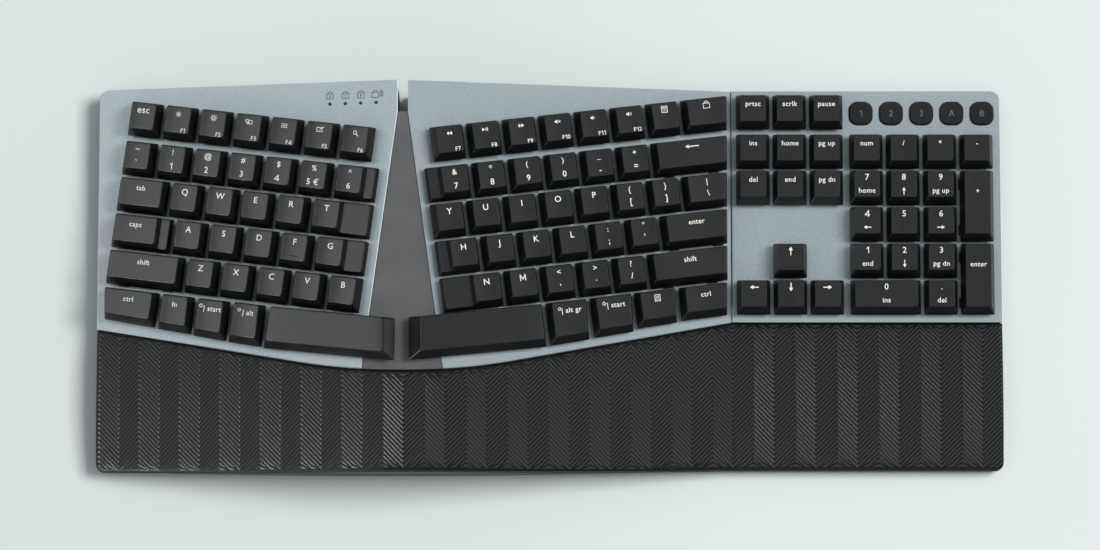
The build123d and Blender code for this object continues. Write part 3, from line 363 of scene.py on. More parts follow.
# The plate's last colour is the painted highlight on its faces that aren't level.
surfaces["plate_metal"] = plate_metal("plate_metal", (0.325, 0.372, 0.396), (0.465, 0.528, 0.555),
                                      (0.62, 0.7, 0.73))
# The pad skin's dark groove colour is painted shade and its light crown colour painted light.
surfaces["pad_skin"] = pad_skin("pad_skin", (0.0006, 0.0006, 0.0007), (0.028, 0.028, 0.029))


# Meshes
def placed(name, data):
    """An object in the scene."""
    made = bpy.data.objects.new(name, data)
    bpy.context.scene.collection.objects.link(made)
    return made


def mesh_object(name, points, faces, materials, slots=None, smooth=True):
    """A mesh object from points in millimetres, with surfaces by name and each face's place in them."""
    mesh = bpy.data.meshes.new(name)
    mesh.from_pydata([(x * MM, y * MM, z * MM) for x, y, z in points], [], faces)
    for material in materials:
        mesh.materials.append(surfaces[material])
    if slots:
        mesh.polygons.foreach_set("material_index", slots)
    mesh.polygons.foreach_set("use_smooth", [smooth] * len(mesh.polygons))
    mesh.validate()
    mesh.update()
    return placed(name, mesh)


class Shape:
    """Points and faces gathered for one mesh, each face with its material's place."""

    def __init__(self):
        self.points = []
        self.faces = []
        self.slots = []

    def add(self, points, faces, slots=side_slot):
        """Take over points and the faces among them, with one slot for all or a list of slots."""
        start = len(self.points)
        self.points.extend(points)
        self.faces.extend([tuple(start + i for i in face) for face in faces])
        self.slots.extend(slots if isinstance(slots, list) else [slots] * len(faces))


def turned(plane, points):
    """Points of a plane's own coordinates, in the frame's."""
    return [tuple(plane @ Vector(p)) for p in points]


def key_plane(side, splay=splay_angle):
    """From key coordinates (right, rear, out of the plate) to the frame's.

    Side is -1 for the left half, 1 for the right half and 0 for the level number pad.
    """
    if side == 0:
        return Matrix.Translation((0.0, 0.0, pad_plate_height))
    lean = Matrix.Rotation(radians(side * tent_angle), 4, "Y")
    turn = Matrix.Rotation(radians(side * splay), 4, "Z")
    return Matrix.Translation((crest_x, 0.0, crest_height)) @ (lean @ turn)


def islands(node, plane):
    """The separate solids of a CAD node, as points in key coordinates and faces."""
    made = bmesh.new()
    made.from_mesh(nodes[node].data)
    bmesh.ops.remove_doubles(made, verts=made.verts, dist=1e-6)
    made.verts.ensure_lookup_table()
    inverse = plane.inverted()
    seen = set()
    found = []
    for start in made.verts:
        if start.index in seen:
            continue
        seen.add(start.index)
        stack = [start]
        order = {}
        while stack:
            vert = stack.pop()
            order[vert.index] = len(order)
            for edge in vert.link_edges:
                other = edge.other_vert(vert)
                if other.index not in seen:
                    seen.add(other.index)
                    stack.append(other)
        members = [made.verts[i] for i in order]
        points = [tuple(inverse @ (v.co / MM)) for v in members]
        faces = {f.index: tuple(order[v.index] for v in f.verts) for v in members for f in v.link_faces}
        found.append((points, list(faces.values())))
    made.free()
    return found


def corners(points):
    """The rear left, rear right, front right and front left of points in plan."""
    ways = ((-1, 1), (1, 1), (1, -1), (-1, -1))
    return [max(points, key=lambda p: a * p[0] + b * p[1])[:2] for a, b in ways]


def inset_quad(quad, inset):
    """A four-cornered outline moved inwards, by one amount or by one for each side."""
    insets = inset if isinstance(inset, list) else [inset] * 4
    lines = []
    for k in range(4):
        (x0, y0), (x1, y1) = quad[k], quad[(k + 1) % 4]
        length = dist((x0, y0), (x1, y1))
        nx, ny = (y1 - y0) / length, -(x1 - x0) / length
        lines.append((nx, ny, nx * x0 + ny * y0 + insets[k]))
    made = []
    for k in range(4):
        a, b, c = lines[k - 1]
        d, e, f = lines[k]
        det = a * e - b * d
        made.append(((c * e - b * f) / det, (a * f - c * d) / det))
    return made


def side_counts(quad):
    """How many points each straight side of an outline gets."""
    sides = [dist(quad[k], quad[(k + 1) % 4]) for k in range(4)]
    return [max(2, round(side / side_point_spacing)) for side in sides]


def round_outline(quad, radius, counts):
    """Points round a four-cornered outline with round corners, from the rear left."""
    arcs = []
    for k in range(4):
        here = Vector(quad[k])
        back = (Vector(quad[k - 1]) - here).normalized()
        onward = (Vector(quad[(k + 1) % 4]) - here).normalized()
        opening = back.angle(onward)
        centre = here + (back + onward).normalized() * (radius / sin(opening / 2))
        ends = [here + side * (radius / tan(opening / 2)) - centre for side in (back, onward)]
        first, last = [atan2(end.y, end.x) for end in ends]
        sweep = (last - first) % (-2 * pi)
        angles = [first + sweep * i / corner_points for i in range(corner_points + 1)]
        arcs.append([centre + radius * Vector((cos(a), sin(a))) for a in angles])
    points = []
    for k in range(4):
        points += arcs[k]
        start, end = arcs[k][-1], arcs[(k + 1) % 4][0]
        points += [start.lerp(end, (i + 1) / (counts[k] + 1)) for i in range(counts[k])]
    return points


def lerp_quad(a, b, t):
    """An outline between two others, with as many points."""
    return [(p[0] + (q[0] - p[0]) * t, p[1] + (q[1] - p[1]) * t) for p, q in zip(a, b)]


class Dish:
    """The hollow across a cap's top: deepest in the middle, none at the sides."""

    def __init__(self, quad, depth):
        us = [p[0] for p in quad]
        self.middle = (min(us) + max(us)) / 2
        self.half = (max(us) - min(us)) / 2
        self.depth = depth

    def drop(self, u):
        """How far the top lies under its corners."""
        return self.depth * max(0.0, 1 - ((u - self.middle) / self.half) ** 2)


def cap_profile(base, top, low, high):
    """A cap's outside from its skirt up: outline, corner radius, height and share of the dish."""
    rows = [(inset_quad(base, cap_skirt_break), cap_corner_low, low, 0.0)]
    for t in cap_side_levels:
        outline = inset_quad(lerp_quad(base, top, t), -cap_side_bulge * sin(pi * t))
        radius = cap_corner_low + (cap_corner_high - cap_corner_low) * t
        rows.append((outline, radius, low + (high - low - cap_edge_round) * t, t * t))
    for step in range(cap_edge_steps + 1):
        angle = radians(90.0 * step / cap_edge_steps)
        drop = cap_edge_round * (1 - sin(angle))
        outline = inset_quad(top, cap_edge_round * (1 - cos(angle)) - cap_edge_lean * drop)
        rows.append((outline, cap_corner_high, high - drop, 1.0))
    return rows


def add_cap(shape, base, top, low, high, dish):
    """A hollow keycap with round corners and edges and a dished top."""
    counts = side_counts(base)
    outside = []
    for outline, radius, height, share in cap_profile(base, top, low, high):
        places = round_outline(outline, radius, counts)
        outside.append([(p.x, p.y, height - share * dish.drop(p.x)) for p in places])
    rim = outside[-1]
    count = len(rim)
    centre = (sum(p[0] for p in rim) / count, sum(p[1] for p in rim) / count)
    roof = []
    for share in cap_top_rings:
        places = lerp_quad([centre] * count, rim, share)
        roof.append([(u, v, high - dish.drop(u)) for u, v in places])
    inside = []
    for height in (high - cap_roof, low):
        outline = inset_quad(lerp_quad(base, top, (height - low) / (high - low)), cap_wall)
        inside.append([(p.x, p.y, height) for p in round_outline(outline, cap_corner_inside, counts)])
    rings = inside + outside + roof
    first_top_ring = len(inside) + len(outside) - 2
    faces, slots = [], []
    for k in range(1, len(rings)):
        for i in range(count):
            j = (i + 1) % count
            faces.append(((k - 1) * count + j, (k - 1) * count + i, k * count + i, k * count + j))
            slots.append(top_slot if k >= first_top_ring else side_slot)
    points = [p for ring in rings for p in ring]
    middles = ((0, high - cap_roof, side_slot), (len(rings) - 1, high - dish.drop(centre[0]), top_slot))
    for ring, height, slot in middles:
        points.append((*centre, height))
        for i in range(count):
            face = (len(points) - 1, ring * count + (i + 1) % count, ring * count + i)
            faces.append(face if slot == top_slot else face[::-1])
            slots.append(slot)
    shape.add(points, faces, slots)


# Legends: text and line drawings in millimetres, drawn flat and laid on a key as thin solids
def font_outline(text, size):
    """Flat faces of a text in the standard font, centred, with its baseline on the X axis."""
    curve = bpy.data.curves.new("legend_text", "FONT")
    curve.body = text
    curve.size = size
    curve.align_x = "CENTER"
    curve.offset = font_boldness * size
    curve.space_character = font_spacing
    curve.resolution_u = font_resolution
    carrier = bpy.data.objects.new("legend_text", curve)
    mesh = bpy.data.meshes.new_from_object(carrier)
    points = [(v.co.x, v.co.y) for v in mesh.vertices]
    faces = [tuple(p.vertices) for p in mesh.polygons]
    bpy.data.objects.remove(carrier)
    bpy.data.curves.remove(curve)
    bpy.data.meshes.remove(mesh)
    return points, faces


def text_outline(text, size):
    """Flat faces of a text. Characters that are drawn from given points are set beside the font's own."""
    if not any(c in drawn_characters for c in text):
        return font_outline(text, size)
    parts = []
    end = 0.0
    for c in text:
        if c in drawn_characters:
            part = moved(stroke(drawn_characters[c], glyph_stroke), 0, 0, size)
        else:
            part = font_outline(c, size)
        low = min(x for x, y in part[0])
        high = max(x for x, y in part[0])
        parts.append(moved(part, end - low, 0))
        end += high - low + glyph_gap * size
    return moved(joined(*parts), -(end - glyph_gap * size) / 2, 0)


def stroke(points, width):
    """Flat faces of a line of some width through points."""
    made, faces = [], []
    for (x0, y0), (x1, y1) in zip(points, points[1:]):
        length = dist((x0, y0), (x1, y1))
        dx, dy = (x1 - x0) / length * width / 2, (y1 - y0) / length * width / 2
        start = len(made)
        made += [(x0 - dx - dy, y0 - dy + dx), (x0 - dx + dy, y0 - dy - dx),
                 (x1 + dx + dy, y1 + dy - dx), (x1 + dx - dy, y1 + dy + dx)]
        faces.append((start, start + 1, start + 2, start + 3))
    return made, faces


def filled(points):
    """One flat face through points, anticlockwise."""
    return list(points), [tuple(range(len(points)))]


def ring_stroke(x, y, radius, width, start=0.0, end=360.0, steps=16):
    """A round stroke, whole or part of a circle."""
    made, faces = [], []
    for k in range(steps + 1):
        angle = radians(start + (end - start) * k / steps)
        for r in (radius - width / 2, radius + width / 2):
            made.append((x + r * cos(angle), y + r * sin(angle)))
    for k in range(steps):
        faces.append((2 * k, 2 * k + 1, 2 * k + 3, 2 * k + 2))
    return made, faces


def joined(*parts):
    """Several flat drawings as one."""
    points, faces = [], []
    for part_points, part_faces in parts:
        start = len(points)
        points += part_points
        faces += [tuple(start + i for i in face) for face in part_faces]
    return points, faces


def turned_drawing(drawing, degrees):
    """A drawing turned about the origin."""
    c, s = cos(radians(degrees)), sin(radians(degrees))
    return [(x * c - y * s, x * s + y * c) for x, y in drawing[0]], drawing[1]


def moved(drawing, dx, dy, scale=1.0):
    """A drawing shifted and scaled."""
    return [(x * scale + dx, y * scale + dy) for x, y in drawing[0]], drawing[1]


def box_stroke(x0, y0, x1, y1, width):
    """A rectangle drawn with a line."""
    return stroke([(x0, y0), (x1, y0), (x1, y1), (x0, y1), (x0, y0)], width)


def arrow(degrees, length=3.4):
    """A straight arrow with a filled head."""
    half = length / 2
    shaft = stroke([(-half, 0), (half - 1.1, 0)], 0.42)
    head = filled([(half - 1.5, -0.85), (half, 0), (half - 1.5, 0.85)])
    return turned_drawing(joined(shaft, head), degrees)


def triangle(x, way, size=1.2):
    """A filled triangle that points left or right."""
    points = [(x, -size * 0.7), (x + way * size, 0), (x, size * 0.7)]
    return filled(points if way > 0 else points[::-1])


def sun(radius, ray):
    """A ring with eight rays."""
    first = stroke([(radius + 0.35, 0), (radius + 0.35 + ray, 0)], 0.25)
    rays = [turned_drawing(first, 45 * k) for k in range(8)]
    return joined(ring_stroke(0, 0, radius, 0.28), *rays)


def speaker(waves, crossed=False):
    """A small loudspeaker with sound waves or a cross."""
    body = joined(filled([(-1.2, -0.4), (-0.7, -0.4), (-0.7, 0.4), (-1.2, 0.4)]),
                  filled([(-0.7, -0.4), (0.0, -0.9), (0.0, 0.9), (-0.7, 0.4)]))
    arcs = [ring_stroke(0, 0, 0.55 + 0.5 * k, 0.22, -45, 45, 6) for k in range(waves)]
    cross = [stroke([(0.5, -a), (1.3, a)], 0.22) for a in (0.4, -0.4)] if crossed else []
    return joined(body, *arcs, *cross)


def padlock(mark=None, scale=1.0):
    """A closed padlock, with an optional mark in its body."""
    parts = [box_stroke(-1.35, -1.3, 1.35, 0.75, 0.24), ring_stroke(0, 0.75, 0.85, 0.24, 0, 180, 10)]
    if mark:
        parts.append(moved(text_outline(mark, 1.9), 0, -0.98))
    return moved(joined(*parts), 0, 0, scale)


def battery_mark():
    """A standing battery with four bars."""
    bars = [stroke([(-0.35, -0.85 + 0.55 * k), (0.35, -0.85 + 0.55 * k)], 0.26) for k in range(4)]
    cell = box_stroke(-0.75, -1.3, 0.75, 1.25, 0.22)
    return joined(cell, stroke([(-0.3, 1.55), (0.3, 1.55)], 0.3), *bars)


def dot(x, y, radius):
    """A filled six-sided dot."""
    angles = [radians(60 * k) for k in range(6)]
    return filled([(x + radius * cos(a), y + radius * sin(a)) for a in angles])


def dots(columns, rows, pitch, radius):
    """A block of dots."""
    xs = [(i - (columns - 1) / 2) * pitch for i in range(columns)]
    ys = [(j - (rows - 1) / 2) * pitch for j in range(rows)]
    return joined(*[dot(x, y, radius) for x in xs for y in ys])


page_lines = [stroke([(-0.6, y), (0.6, y)], 0.2) for y in (0.6, 0.0, -0.6)]
play_bars = [stroke([(x, -0.6), (x, 0.6)], 0.34) for x in (0.3, 1.0)]
icons = {
    "dim": sun(0.45, 0.3),
    "bright": sun(0.65, 0.5),
    "panes": joined(box_stroke(-1.5, -0.1, -0.3, 0.9, 0.22), box_stroke(0.1, -0.9, 1.5, 0.7, 0.22),
                    box_stroke(-0.9, -0.9, -0.2, -0.4, 0.2)),
    "grid": dots(4, 3, 0.75, 0.26),
    "note": joined(stroke([(0.6, 0.9), (-1.4, 0.9), (-1.4, -0.9), (1.1, -0.9), (1.1, 0.0)], 0.24),
                   stroke([(-0.1, -0.1), (1.6, 1.2)], 0.34)),
    "lens": joined(ring_stroke(-0.3, 0.35, 0.75, 0.26), stroke([(0.25, -0.2), (1.1, -1.05)], 0.36)),
    "back": joined(triangle(0, -1), triangle(1.3, -1)),
    "play": joined(triangle(-1.4, 1), *play_bars),
    "next": joined(triangle(-1.3, 1), triangle(0, 1)),
    "mute": speaker(0, crossed=True),
    "quiet": speaker(1),
    "loud": speaker(2),
    "keypad": joined(box_stroke(-1.2, -1.3, 1.2, 1.3, 0.24), box_stroke(-0.7, 0.45, 0.7, 0.85, 0.18),
                     moved(dots(3, 2, 0.6, 0.18), 0, -0.4)),
    "lock": padlock(),
    "page": joined(box_stroke(-1.1, -1.3, 1.1, 1.3, 0.24), *page_lines),
    "diamond": stroke([(0, -1.0), (1.0, 0), (0, 1.0), (-1.0, 0), (0, -1.0)], 0.3),
    "loop": ring_stroke(0, 0, 0.75, 0.28),
    "left": arrow(180),
    "right": arrow(0),
    "up": arrow(90),
    "down": arrow(270),
    "long_left": arrow(180, 5.6),
}


# What each key shows. A legend is a list of (text or icon, kind), and kinds say where it stands
def row(kind, *contents):
    """Keys with one text or icon each."""
    return [[(content, kind)] for content in contents]


def pairs(kind, *signs):
    """Keys with a sign over a figure or a second sign."""
    return [[(sign[0], "upper"), (sign[1:], kind)] for sign in signs]


def functions(first, *names):
    """Function keys: an icon, and the key's name at the lower right."""
    return [[(name, "function_icon"), (f"F{first + i}", "small_right")] for i, name in enumerate(names)]


def marked(icon, name, kind="icon_left"):
    """A key with an icon before a word."""
    return [(icon, kind), (name, "word_right")]


def pad_key(figure, lower, kind="pad_word"):
    """A number pad key: a figure over a word or an arrow."""
    return [(figure, "pad_figure"), (lower, kind)]


legends = {
    "left_f_row_keys": row("corner_word", "esc") + functions(1, "dim", "bright", "panes", "grid",
                                                             "note", "lens"),
    "left_number_row_keys": pairs("lower", "~`", "!1", "@2", "#3", "$4", "%5 €", "^6"),
    "left_q_row_keys": row("word", "tab") + row("letter", *"QWERT"),
    "left_a_row_keys": row("word", "caps") + row("letter", *"ASDFG"),
    "left_z_row_keys": row("letter", *"ZXCVB"),
    "left_shift_key": row("word", "shift"),
    "left_bottom_row_keys": row("word", "ctrl", "fn") + [marked("diamond", "| start"),
                                                         marked("loop", "| alt", "near_icon_left")],
    "left_space_bar": [[]],
    "right_f_row_keys": functions(7, "back", "play", "next", "mute", "quiet", "loud")
    + row("icon", "keypad", "lock"),
    "right_number_row_keys": pairs("lower", "&7", "*8", "(9", ")0", "_-", "+="),
    "backspace_key": row("icon", "long_left"),
    "right_q_row_keys": row("letter", *"YUIOP") + pairs("low_sign", "{[", "}]", "|\\"),
    "right_a_row_keys": row("letter", *"HJKL") + pairs("low_sign", ":;", "\"'"),
    "enter_key": row("word", "enter"),
    "right_z_row_keys": row("letter", *"NM") + pairs("low_point", "<,", ">.") + pairs("low_sign", "?/"),
    "right_shift_key": row("word", "shift"),
    "right_bottom_row_keys": [marked("loop", "| alt gr"), marked("diamond", "| start")]
    + row("icon", "page") + row("word", "ctrl"),
    "right_space_bar": [[]],
    "nav_top_keys": row("word", "prtsc", "scrlk", "pause"),
    "nav_block_keys": row("word", "ins", "home", "pg up", "del", "end", "pg dn"),
    "arrow_keys": row("icon", "up", "left", "down", "right"),
    "pad_first_row_keys": row("word", "num", "/", "*", "-"),
    "pad_second_row_keys": [pad_key("7", "home"), pad_key("8", "up", "pad_icon"), pad_key("9", "pg up")],
    "pad_third_row_keys": [pad_key("4", "left", "pad_icon"), *row("pad_figure", "5"),
                           pad_key("6", "right", "pad_icon")],
    "pad_fourth_row_keys": [pad_key("1", "end"), pad_key("2", "down", "pad_icon"), pad_key("3", "pg dn")],
    "pad_last_row_keys": [pad_key("0", "ins"), pad_key(".", "del")],
    "pad_plus_key": row("middle", "+"),
    "pad_enter_key": row("middle", "enter"),
}
homing_texts = ("F", "J", "5")

# Kinds of legend: text size or icon scale, place across from the middle, place down from the rear edge
kinds = {
    "letter": (letter_size, 0.0, letter_drop),
    "word": (word_size, 0.0, word_drop),
    "corner_word": (4.9, 0.0, 3.6),
    "upper": (4.0, 0.0, upper_drop),
    "lower": (letter_size, 0.0, upper_drop + figure_gap),
    "low_sign": (letter_size, 0.0, upper_drop + sign_gap),
    "low_point": (letter_size, 0.0, upper_drop + point_gap),
    "icon": (1.25, 0.0, 3.5),
    "function_icon": (1.15, 0.0, 3.9),
    "icon_left": (0.95, -4.9, near_icon_drop),
    "near_icon_left": (0.95, -3.6, near_icon_drop),
    "word_right": (word_size, 1.2, word_drop),
    "small_right": (3.0, 3.6, 12.2),
    "pad_figure": (letter_size, 0.0, 3.1),
    "pad_word": (word_size, 0.0, 10.1),
    "pad_icon": (1.1, 0.0, 10.3),
    "middle": (word_size, 0.0, 10.4),
}


def lay(shape, drawing, u, v, high, dish):
    """Lay a flat drawing on a cap's top as a thin solid."""
    points, faces = drawing
    count = len(points)
    made = []
    for lift in (legend_lift, legend_lift - legend_depth):
        made += [(x + u, y + v, high - dish.drop(x + u) + lift) for x, y in points]
    sides = {}
    for face in faces:
        for a, b in zip(face, face[1:] + face[:1]):
            if (b, a) in sides:
                del sides[(b, a)]
            else:
                sides[(a, b)] = True
    shell = list(faces) + [tuple(count + i for i in reversed(face)) for face in faces]
    shell += [(b, a, count + a, count + b) for a, b in sides]
    shape.add(made, shell)


def add_legend(shape, legend, top, high, dish):
    """All of a key's legend on its top."""
    u = sum(p[0] for p in top) / 4
    rear = (top[0][1] + top[1][1]) / 2
    lean = (top[1][1] - top[0][1]) / (top[1][0] - top[0][0])
    for content, kind in legend:
        size, across, down = kinds[kind]
        if content in icons:
            drawing = moved(icons[content], 0, 0, size)
        else:
            drawing = moved(text_outline(content, size), 0, -text_middle * size)
        lay(shape, drawing, u + across, rear - down + lean * across, high, dish)


def add_homing_bar(shape, top, high, dish):
    """The raised bar near the front of a homing key's top."""
    u = sum(p[0] for p in top) / 4
    v = (top[2][1] + top[3][1]) / 2 + bar_setback
    angles = [pi * k / bar_steps for k in range(bar_steps + 1)]
    points, faces = [], []
    base = high - dish.drop(u) - bar_sunk
    for place, scale in bar_sections:
        for a in angles:
            points.append((u + bar_half * place, v + bar_radius * cos(a) * scale,
                           base + bar_rise * sin(a) * scale))
    count = len(angles)
    last = count * (len(bar_sections) - 1)
    for start in range(0, last, count):
        for i in range(count):
            j = (i + 1) % count
            faces.append((start + i, start + count + i, start + count + j, start + j))
    faces.append(tuple(range(count)))
    faces.append(tuple(reversed(range(last, last + count))))
    shape.add(points, faces, top_slot)


def row_order(found):
    """Caps from the rear row to the front one, and from left to right."""
    return sorted(found, key=lambda item: (-round(item["v"] / row_band), item["u"]))


def read_caps(node, plane):
    """The outlines of a key node's caps, and its other solids."""
    caps, others = [], []
    for points, faces in islands(node, plane):
        low = min(p[2] for p in points)
        high = max(p[2] for p in points)
        if low < cap_lift - lift_slack or high < cap_lift + cap_height - height_slack:
            others.append((points, faces))
            continue
        base = corners([p for p in points if p[2] < cap_lift + skirt_slack])
        top = corners([p for p in points if p[2] > cap_lift + cap_height - cap_top_share * cap_dish])
        reaches = {"right": base[1][0] - top[1][0], "left": top[0][0] - base[0][0]}
        wide = [way for way in reaches if reaches[way] > step_reach and "space" not in node]
        step = wide[0] if wide else None
        caps.append({"base": base, "top": top, "step": step,
                     "u": (top[0][0] + top[1][0]) / 2, "v": (top[0][1] + top[3][1]) / 2})
    return row_order(caps), others


def stepped_parts(cap):
    """Skirts of a stepped cap: under its high part, and under the low shelf beside it."""
    base, top = cap["base"], cap["top"]
    way = 1 if cap["step"] == "right" else -1
    inner = (1, 2) if way > 0 else (0, 3)
    outer = (0, 3) if way > 0 else (1, 2)
    main, shelf = list(base), inset_quad(base, [shelf_inset, 0.0, shelf_inset, 0.0])
    for corner in inner:
        main[corner] = (top[corner][0] + way * cap_side_inset, base[corner][1])
    for corner, beside in zip(outer, inner):
        shelf[corner] = (main[beside][0] - way * cap_wall, shelf[corner][1])
    return main, shelf


def add_stepped_cap(shape, cap, high, dish):
    """A cap whose top covers only one part of it, with a low shelf over the rest."""
    main, shelf = stepped_parts(cap)
    draws = [draw * step_height / cap_height for draw in cap_draws]
    draws[3 if cap["step"] == "right" else 1] = 0.0
    shelf_top = inset_quad(shelf, draws)
    add_cap(shape, shelf, shelf_top, cap_lift, cap_lift + step_height, Dish(shelf, 0.0))
    add_cap(shape, main, cap["top"], cap_lift, high, dish)


def build_key_node(node, side):
    """The keycaps, plungers and legends of one CAD node."""
    plane = key_plane(side)
    caps, others = read_caps(node, plane)
    body = Shape()
    marks = Shape()
    high = cap_lift + cap_height
    for cap, legend in zip(caps, legends[node]):
        top = cap["top"]
        dish = Dish(top, 0.0 if "space" in node else cap_dish)
        if cap["step"]:
            add_stepped_cap(body, cap, high, dish)
        else:
            add_cap(body, cap["base"], top, cap_lift, high, dish)
        add_legend(marks, legend, top, high, dish)
        if legend and legend[0][0] in homing_texts:
            add_homing_bar(body, top, high, dish)
    for points, faces in others:
        body.add(points, faces, stem_slot)
    # The caps' sides take the darker tone, painted shade, and their tops the lighter one, painted light.
    made = mesh_object(f"{node}_caps", turned(plane, body.points), body.faces,
                       ["cap_plastic_painted_shade", "switch_plastic", "cap_top_painted_light"], body.slots)
    made.data.set_sharp_from_angle(angle=radians(cap_sharp_angle))
    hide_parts(node)
    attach(made, node)
    if marks.points:
        points = turned(plane, marks.points)
        shown = mesh_object(f"{node}_legends", points, marks.faces, ["legend_ink"], smooth=False)
        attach(shown, node)


for joint in frame["joints"]:
    if joint["child"] in legends:
        lean = joint["axis"][0]
        side = -1 if lean > 0 else 1
        build_key_node(joint["child"], 0 if abs(lean) < level_lean else side)


# Stabilisers: the number pad's own are mirrored along X (0) or Y (1), so that their open sides show
open_sides = {"pad_plus_key": 0, "pad_enter_key": 0, "pad_last_row_keys": 1}


def turned_over(points, faces):
    """A solid under one of the number pad's wide keys, mirrored about the key's middle."""
    x, y, z = [(min(places) + max(places)) / 2 * MM for places in zip(*points)]
    for node, axis in open_sides.items():
        low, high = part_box(node)
        if low.x < x < high.x and low.y < y < high.y:
            total = (low[axis] + high[axis]) / MM
            mirrored = [(total - a, b, c) if axis == 0 else (a, total - b, c) for a, b, c in points]
            return mirrored, [tuple(reversed(face)) for face in faces]
    return points, faces


def build_stabilisers(name, node, slot):
    """A stabiliser node with the number pad's own turned to the side that the photo shows."""
    level = key_plane(0)
    shape = Shape()
    for points, faces in islands(node, level):
        shape.add(*turned_over(points, faces))
    made = mesh_object(name, turned(level, shape.points), shape.faces, [slot], smooth=False)
    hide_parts(node)
    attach(made, "case")


build_stabilisers("key_guides", "stabiliser_guides", "switch_plastic")
build_stabilisers("key_wires", "stabiliser_wires", "steel")


# Mode buttons and indicator lights
flat = Dish([(-1, 0), (1, 0)], 0.0)


def mark_buttons():
    """A plain figure or letter on each mode button."""
    for index, mark in enumerate(button_marks):
        node = f"mode_button_{index + 1}"
        low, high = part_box(node)
        middle = (low + high) / 2 / MM
        marks = Shape()
        drawing = moved(text_outline(mark, button_mark_size), 0, -button_mark_middle)
        lay(marks, drawing, middle.x, middle.y, high.z / MM, flat)
        shown = mesh_object(f"{node}_mark", marks.points, marks.faces, ["dim_legend_ink"], smooth=False)
        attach(shown, node)


def mark_lights():
    """Padlocks, and a battery for the last light, printed on the left plate behind the lights."""
    low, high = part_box("indicator_light_pipes")
    first_x = low.x / MM + light_inset
    last = len(light_marks) - 1
    pitch = (high.x / MM - light_inset - first_x) / last
    y = (low.y + high.y) / 2 / MM
    marks = Shape()
    for index, mark in enumerate(light_marks):
        x = first_x + index * pitch - (last_light_shift if index == last else 0.0)
        u = (x - crest_x) / cos(radians(tent_angle))
        lay(marks, padlock(mark, padlock_scale), u, y + padlock_rise, 0.0, flat)
        if index == last:
            lay(marks, battery_mark(), u + battery_across, y + battery_rise, 0.0, flat)
    points = turned(key_plane(-1, splay=0.0), marks.points)
    shown = mesh_object("indicator_marks", points, marks.faces, ["plate_legend_ink"], smooth=False)
    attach(shown, "case")


mark_buttons()
mark_lights()


# Palm rest
def tent(x):
    """Height of the palm rest's rounded tent over a point of the plan."""
    slope = tan(radians(tent_angle))
    edge = crest_height - tent_round_half * slope
    d = abs(x - crest_x)
    if x > fold_x:
        return pad_plate_height
    if x > crest_x + tent_round_half:
        share = (x - crest_x - tent_round_half) / (fold_x - crest_x - tent_round_half)
        return edge + (pad_plate_height - edge) * share
    if d > tent_round_half:
        return crest_height - d * slope
    radius = tent_round_half / sin(radians(tent_angle))
    return edge + sqrt(radius ** 2 - d ** 2) - radius * cos(radians(tent_angle))


def pad_rise(y):
    """The pad's crown from front to rear, over the tent."""
    rise = 0.0
    for i, (yi, height) in enumerate(pad_crown_points):
        weight = 1.0
        for j, (yj, _) in enumerate(pad_crown_points):
            if i != j:
                weight *= (y - yj) / (yi - yj)
        rise += weight * height
    return rise


def arc_y(x, ends, top):
    """Y on the circle through the two ends and a point between them."""
    (x0, y0), (x1, y1), (x2, y2) = ends[0], top, ends[1]
    a, b, c, d = x1 - x0, y1 - y0, x2 - x0, y2 - y0
    e, f = (x1 * x1 - x0 * x0 + y1 * y1 - y0 * y0) / 2, (x2 * x2 - x0 * x0 + y2 * y2 - y0 * y0) / 2
    det = a * d - b * c
    cx, cy = (e * d - b * f) / det, (a * f - e * c) / det
    return cy - sqrt(dist((x0, y0), (cx, cy)) ** 2 - (x - cx) ** 2)


def front_edge(x):
    """Y of the palm rest's front edge, a little in from the board's."""
    if x > fold_x:
        return front_right_y + pad_inset
    left_end = (-half_width, front_left_y)
    return arc_y(x, (left_end, (fold_x, front_right_y)), (crest_x, front_crest_y)) + pad_inset


def rear_edge(x):
    """Y of the pad's rear edge, along the seam of the plates."""
    left, right = radians(seam_left_angle), radians(seam_right_angle)
    middle = seam_crest_y + seam_radius
    left_end = crest_x - seam_radius * sin(left)
    right_end = crest_x + seam_radius * sin(right)
    if x < left_end:
        y = middle - seam_radius * cos(left) + (left_end - x) * tan(left)
    elif x > right_end:
        y = middle - seam_radius * cos(right) + (min(x, fold_x) - right_end) * tan(right)
    else:
        y = middle - sqrt(seam_radius ** 2 - (x - crest_x) ** 2)
    return y - pad_seam_inset


def along_tent(x):
    """Distance along the tented surface from the fold, to the left."""
    return (fold_x - x) / cos(radians(tent_angle)) if x < fold_x else fold_x - x


def zigzag(x):
    """How far a rib has climbed from the nearest low point of its zigzag."""
    share = along_tent(x) / (2 * pad_rib_band)
    return abs(share - round(share)) * 2 * pad_rib_band


def pad_columns():
    """X of the pad's columns: at the turns of its ribs, between them, and round its corners."""
    across = cos(radians(tent_angle))
    first = -round((pad_ends - fold_x) / pad_rib_band) - 1
    last = int((fold_x + pad_ends) / across / pad_rib_band)
    xs = {fold_x}
    for turn in range(first, last + 1):
        for part in pad_band_parts:
            s = (turn + part) * pad_rib_band
            xs.add(fold_x - (s * across if s > 0 else s))
    xs = [x for x in xs if abs(x) < pad_ends - pad_inner_corner - pad_column_gap]
    for k in range(pad_corner_steps + 1):
        dx = pad_inner_corner * (1 - cos(radians(90 * k / pad_corner_steps)))
        xs += [dx - pad_ends, pad_ends - dx]
    return sorted(xs)


